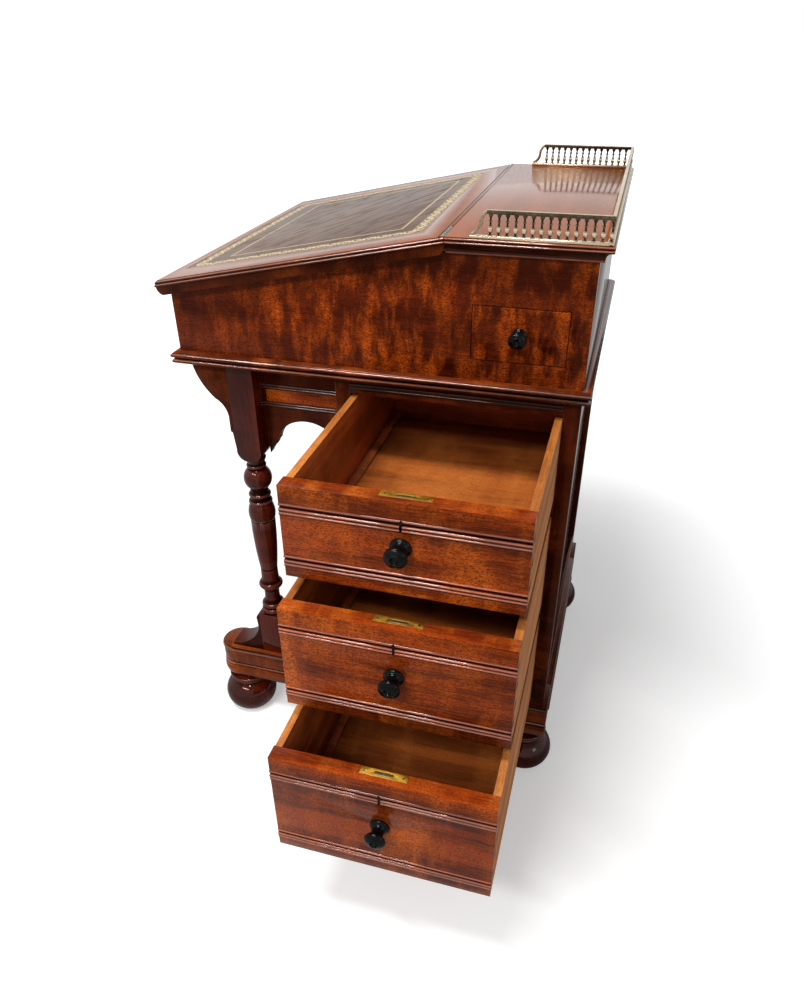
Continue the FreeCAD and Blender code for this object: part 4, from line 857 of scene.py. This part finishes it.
def knob(face_x, y, z, size=1.0, flip=1):
    """A knob on a face at x, pointing to +X, or to -X where it is flipped."""
    shape = turned(KNOB, 40)
    shape.transform(Matrix.Translation((face_x*MM, y*MM, z*MM))
                    @ Matrix.Rotation(flip*math.pi/2, 4, "Y") @ Matrix.Scale(size, 4))
    return shape


KNOB_CURVE = 50
sham = bmesh.new()
for number, face_x, z in ((1, 511, 624.5), (2, 546.5, 456.25), (3, 619, 262.25)):
    piece(f"drawer_{number}_turned_knob", knob(face_x, DRAWER_MIDDLE, z), ebonised,
          f"drawer_{number}", [f"drawer_{number}_knob"], KNOB_CURVE)
    sham.from_mesh(flat_template(knob(-250, DRAWER_MIDDLE, z, 1, -1)))
piece("pen_drawer_turned_knob", knob(252.5, 197.75, 789, 0.8), ebonised,
      "pen_drawer", ["pen_drawer_knob"], KNOB_CURVE)
piece("sham_turned_knobs", sham, ebonised, "carcase", ["dummy_knobs"], KNOB_CURVE)
print("knobs:", len(KNOB), "heights, 40 sides")

# %% [markdown]
# ## Gilt tooling
#
# The border of the leather is gold leaf pressed in with a hot brass wheel: a scroll with leaves
# between two fine lines, and a thinner double line further in. A picture of it would blur close
# up, so each stroke is a thin raised strip. One length of the scroll is drawn by its rule and
# repeated by the row tree along each side.

# %% Strokes on the leather
SLOPE_DROP, SLOPE_DEEP = 80, 400.5
TILT = math.atan2(SLOPE_DROP, SLOPE_DEEP)
on_slope = Matrix.Translation((0, 100.5*MM, 908*MM)) @ Matrix.Rotation(TILT, 4, "X")
THIN = 0.05*MM


def stroke(shape, points, widths, lift=0.0):
    """A flat ribbon through points, in millimetres, with a width at each point."""
    rims = []
    for i, (x, y) in enumerate(points):
        before, after = points[max(i - 1, 0)], points[min(i + 1, len(points) - 1)]
        way = Vector((after[0] - before[0], after[1] - before[1])).normalized()
        half = Vector((-way.y, way.x))*widths[i]/2
        rims.append([shape.verts.new((MM*(x + side*half.x), MM*(y + side*half.y), MM*lift))
                     for side in (1, -1)])
    for (a, b), (c, d) in zip(rims, rims[1:]):
        shape.faces.new((a, b, d, c))


def raised(shape, turn=0.0):
    """Give flat strokes their thickness, and turn them in their plane."""
    shape.normal_update()
    bmesh.ops.solidify(shape, geom=shape.faces[:], thickness=-THIN)
    bmesh.ops.recalc_face_normals(shape, faces=shape.faces)
    lowest = min(vert.co.z for vert in shape.verts)
    shape.transform(Matrix.Translation((0, 0, -lowest)) @ Matrix.Rotation(turn, 4, "Z"))
    return shape


def scroll(period, turn):
    """One length of the running scroll: a waving stem, two curls and their leaves."""
    shape = bmesh.new()
    wave = lambda x: 4.4*math.sin(2*math.pi*x/period)
    stem = [(x, wave(x)) for x in (period*i/20 for i in range(21))]
    stroke(shape, stem, [2.5]*21)
    for flip, middle in ((1, period*0.25), (-1, period*0.75)):
        curl = [(middle + (4.7 - 0.37*i)*math.cos(0.7*i - 2.2),
                 flip*(-1.6 + (4.5 - 0.37*i)*math.sin(0.7*i - 2.2))) for i in range(11)]
        stroke(shape, curl, [2.4 - 0.1*i for i in range(11)], 0.01)
        for reach in (-8.2, -5.4, 5.4, 8.2):
            root = (middle + reach*0.72, flip*0.8)
            tip = (middle + reach*1.1, flip*(5.6 if abs(reach) < 6 else -5.4))
            path = [(root[0] + (tip[0] - root[0])*t, root[1] + (tip[1] - root[1])*t)
                    for t in (0, 0.35, 0.7, 1)]
            stroke(shape, path, [1.2, 4.2, 3.5, 0.5], 0.02)
        bud = [(middle + flip*0.2 - 2.8, flip*6.4), (middle, flip*5.8), (middle + 3.0, flip*6.4)]
        stroke(shape, bud, [0.6, 2.4, 0.6], 0.02)
    return flat_template(raised(shape, turn))


def ring(shape, half, near, far, width):
    """A rectangular line round the leather."""
    corners = [(-half, near), (half, near), (half, far), (-half, far)]
    rims = [[shape.verts.new((MM*(x + side*sx*width/2), MM*(y + side*sy*width/2), 0))
             for side in (1, -1)] for (x, y), (sx, sy)
            in zip(corners, ((-1, -1), (1, -1), (1, 1), (-1, 1)))]
    for (a, b), (c, d) in zip(rims, rims[1:] + rims[:1]):
        shape.faces.new((a, b, d, c))


# %% Repeat the scroll along the four sides and draw the lines
half, near, far = 206.9, -375.3, -50.1
across_count, along_count = 11, 9
across_step, along_step = 2*half/across_count, (far - near)/along_count
scroll_across, scroll_along = scroll(across_step, 0), scroll(along_step, math.pi/2)
lines = bmesh.new()
for offset in (-7.4, 7.4):
    ring(lines, half + offset, near - offset, far + offset, 0.8)
for inset, width in ((31.4, 1.8), (33.6, 0.7)):
    ring(lines, half - inset, near + inset + 5.5, far - inset + 3.5, width)
lines = flat_template(raised(lines))
rows = [row(scroll_across, gilding, across_count, (-half, side, 0), (across_step, 0, 0))
        for side in (near, far)]
rows += [row(scroll_along, gilding, along_count, (side, near, 0), (0, along_step, 0))
         for side in (-half, half)]
gather("gilt_tooling", rows + [lines], gilding, "lid", place=on_slope)

# %% [markdown]
# ## Veneered panels, screws and dovetails
#
# A slip of flame veneer fills the space between the beads of each apron. The lock plates are held
# by brass screws at their ends. The drawer sides are joined to the fronts with lapped dovetails,
# whose tails show as pale wedges on the ends of the fronts: a wedge is wide at its tip so that
# pulling the knob can never draw the joint apart. All of these could be painted on by a material,
# but each is a piece of its own on the real desk, so each is a thin solid here.

# %% Apron veneers
for side, name in ((1, "right"), (-1, "left")):
    shape = bmesh.new()
    middle = Matrix.Translation((side*211.9*MM, -119*MM, 649.5*MM))
    thick, long, high = 0.8*MM, 124*MM, 19.4*MM
    bmesh.ops.create_cube(shape, size=1, matrix=middle @ Matrix.Diagonal((thick, long, high, 1)))
    cut_from_boards(shape, "veneer_" + name, Y_WAY)
    ease(shape, 0.15)
    piece("apron_veneer_" + name, shape, front_mahogany, "carcase")
    print("apron veneer:", name)

# %% Lock screws
FRONT_BACK = {1: 490, 2: 525.5, 3: 598}         # the inner face of each drawer front
PLATE_TOP = {1: 683.75, 2: 531.25, 3: 344.75}
screw = bmesh.new()
for side in (1, -1):
    rim = [screw.verts.new((MM*side*(0.18 + 1.5*math.sin(t)), MM*1.6*math.cos(t), 0))
           for t in (math.pi*i/8 for i in range(9))]
    screw.faces.new(rim if side < 0 else rim[::-1])
screw = flat_template(raised(screw))
for number, inner in FRONT_BACK.items():
    middle = sum(corner[1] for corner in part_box(f"drawer_{number}_lock"))/2/MM
    screws = row(screw, aged_brass, 2, (inner + 6, middle - 25, PLATE_TOP[number]), (0, 50, 0))
    gather(f"drawer_{number}_lock_screws", [screws], aged_brass, f"drawer_{number}")

# %% Dovetails
for number, inner in FRONT_BACK.items():
    low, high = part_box(f"drawer_{number}_front")
    count = 4 if number == 1 else 5
    pitch = (high[2] - low[2])/MM/count
    tail = bmesh.new()
    root, tip, reach = 0.28*pitch, 0.40*pitch, 15
    wedge = [(0, -root), (reach, -tip), (reach, tip), (0, root)]
    tail.faces.new([tail.verts.new((MM*x, 0, MM*z)) for x, z in wedge])
    tail.normal_update()
    bmesh.ops.solidify(tail, geom=tail.faces[:], thickness=2*THIN)
    bmesh.ops.recalc_face_normals(tail, faces=tail.faces)
    middle = (min(vert.co.y for vert in tail.verts) + max(vert.co.y for vert in tail.verts))/2
    tail.transform(Matrix.Translation((0, -middle, 0)))
    cut_from_boards(tail, f"tail_{number}", X_WAY)
    tail = flat_template(tail)
    tails = [row(tail, raw_wood, count, (inner + 0.2, y, low[2]/MM + pitch/2), (0, 0, pitch))
             for y in (low[1]/MM, high[1]/MM)]
    gather(f"drawer_{number}_dovetails", tails, raw_wood, f"drawer_{number}")

# %% [markdown]
# ## Keyholes
#
# A keyhole is cut through the reeds of each drawer front: a round eye for the key's shank and a
# slot below it for the bit. The solids have it bored, but from above the lit lower wall of so small
# a hole hides the dark behind it. It could be bored deeper, but instead a thin black piece of that
# outline is put in as painted shade, level with the crests of the reeds.

# %% The keyholes' mouths, black pieces of painted shade
EYE = 2.7
for number in FRONT_BACK:
    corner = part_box(f"drawer_{number}_front")[1]
    crest, eye = corner[0]/MM + 0.03, corner[2]/MM - 26.2
    outline = [(EYE*math.sin(t), EYE*math.cos(t))
               for t in (math.pi*(i - 6.4)/8 for i in range(14))]
    outline += [(1.5, -2.2), (1.7, -8.0), (-1.7, -8.0), (-1.5, -2.2)]
    mouth = bmesh.new()
    mouth.faces.new([mouth.verts.new((crest*MM, (DRAWER_MIDDLE + y)*MM, (eye + z)*MM))
                     for y, z in outline[::-1]])
    mouth.normal_update()
    bmesh.ops.solidify(mouth, geom=mouth.faces[:], thickness=2*MM)
    bmesh.ops.recalc_face_normals(mouth, faces=mouth.faces)
    print(f"keyhole {number}: x from {min(v.co.x for v in mouth.verts)/MM:.2f}",
          f"to {max(v.co.x for v in mouth.verts)/MM:.2f}")
    # A black piece that paints the shade inside the keyhole.
    piece(f"drawer_{number}_keyhole", mouth, ebonised, f"drawer_{number}")

# %% [markdown]
# ## Floor, light and camera
#
# The desk stands on a plain pale floor, which fades into white further off. Polish shows what
# stands round it: the walls are white and the ceiling is dim, as in a room, so that the flat top
# turns pale only at a low angle. One big soft lamp could light all this, but it would blur every
# highlight. Two long narrow lamps, overhead and on the near side, draw thin lines along the reeds
# and beads, and a weak one behind keeps the back from going black.

# %% Floor
floor_shape = bmesh.new()
bmesh.ops.create_circle(floor_shape, cap_ends=True, radius=40, segments=96)
floor = put("floor", flat_template(floor_shape))
floor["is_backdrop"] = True
pale, tree, shader = material("pale_floor")
path = add(tree, "ShaderNodeLightPath").outputs
looked = sums(tree, "MAXIMUM", path["Is Camera Ray"], path["Is Transmission Ray"])
shown = sums(tree, "MAXIMUM", looked, sums(tree, "MULTIPLY", path["Is Glossy Ray"], 0.6))
place = add(tree, "ShaderNodeTexCoord").outputs["Object"]
away = add(tree, "ShaderNodeVectorMath", {0: place}, operation="LENGTH").outputs["Value"]
PALE_TO, WHITE_FROM = 0.45, 1.5    # metres from the desk's middle
faded = sums(tree, "MULTIPLY", ramp(tree, away, PALE_TO, WHITE_FROM), shown)
white = mix(tree, looked, (0.5, 0.5, 0.5), (0.78, 0.78, 0.78))
tree.links.new(mix(tree, faded, white, (0, 0, 0)), shader.inputs["Base Color"])
glow = sums(tree, "ADD", faded, sums(tree, "MULTIPLY", looked, 0.38))
tree.links.new(glow, shader.inputs["Emission Color"])
shader.inputs["Emission Strength"].default_value = 1.0
shader.inputs["Roughness"].default_value = 1.0
shader.inputs["Specular IOR Level"].default_value = 0.0
floor.data.materials.append(pale)
print("floor:", len(tree.nodes), "nodes")

# %% Surroundings
world = bpy.data.worlds.new("studio")
bpy.context.scene.world = world
world.use_nodes = True
tree = world.node_tree
path = add(tree, "ShaderNodeLightPath").outputs
towards = add(tree, "ShaderNodeTexCoord").outputs["Generated"]
height = add(tree, "ShaderNodeSeparateXYZ", {0: towards}).outputs["Z"]
walls = sums(tree, "MULTIPLY", path["Is Glossy Ray"], ramp(tree, height, 0.5, 0.8, 1.0, 0.3))
shown = sums(tree, "MAXIMUM", walls,
             sums(tree, "MAXIMUM", path["Is Camera Ray"], path["Is Transmission Ray"]))
sky = tree.nodes["Background"]
sky.inputs["Color"].default_value = (1, 1, 1, 1)
FILL = 0.22    # how brightly the surroundings light the desk
tree.links.new(ramp(tree, shown, 0, 1, FILL, 1.0), sky.inputs["Strength"])
print("surroundings:", FILL, "on the desk, 1 where seen")


# %% Lamps
def lamp(name, spot, target, wide, tall, brightness):
    """A rectangular lamp whose own surface has this brightness."""
    light = bpy.data.lights.new(name, "AREA")
    light.shape, light.size, light.size_y = "RECTANGLE", wide, tall
    light.energy = brightness*math.pi*wide*tall
    made = put(name, light)
    made.location = spot
    made.rotation_euler = (Vector(target) - Vector(spot)).to_track_quat("-Z", "Y").to_euler()
    print(f"{name}: {light.energy:.0f} W")


lamp("overhead", (1.15, -0.5, 3.2), (0.35, -0.1, 0.6), 1.2, 0.22, 80)
lamp("near_side", (2.5, -0.75, 2.7), (0.3, -0.1, 0.5), 1.8, 0.22, 42)
lamp("back_side", (1.6, 2.4, 1.3), (0.4, 0.26, 0.4), 0.7, 0.7, 4)

# %% Camera
yaw, pitch, roll = math.radians(16.509), math.radians(33.470), math.radians(-0.7125)
ahead = Vector((-math.cos(yaw)*math.cos(pitch), -math.sin(yaw)*math.cos(pitch), -math.sin(pitch)))
level = Vector((-math.sin(yaw), math.cos(yaw), 0))
upright = level.cross(ahead)
right = level*math.cos(roll) + upright*math.sin(roll)
up = upright*math.cos(roll) - level*math.sin(roll)
lens = bpy.data.cameras.new("camera")
lens.lens, lens.sensor_width = 28.395, 36
lens.shift_x, lens.shift_y = 0.00465, 0.02706
camera = put("camera", lens)
turn = Matrix((right, up, -ahead)).transposed().to_4x4()
camera.matrix_world = Matrix.Translation((1.2172, 0.3206, 1.1381)) @ turn
bpy.context.scene.camera = camera
bpy.context.scene.view_settings.view_transform = "Standard"
print("camera at", [round(number, 3) for number in camera.matrix_world.translation])

# %% The sizes of the solids and of the finished desk
{"cad": cad_box, "visual": [list(corner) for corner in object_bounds()]}
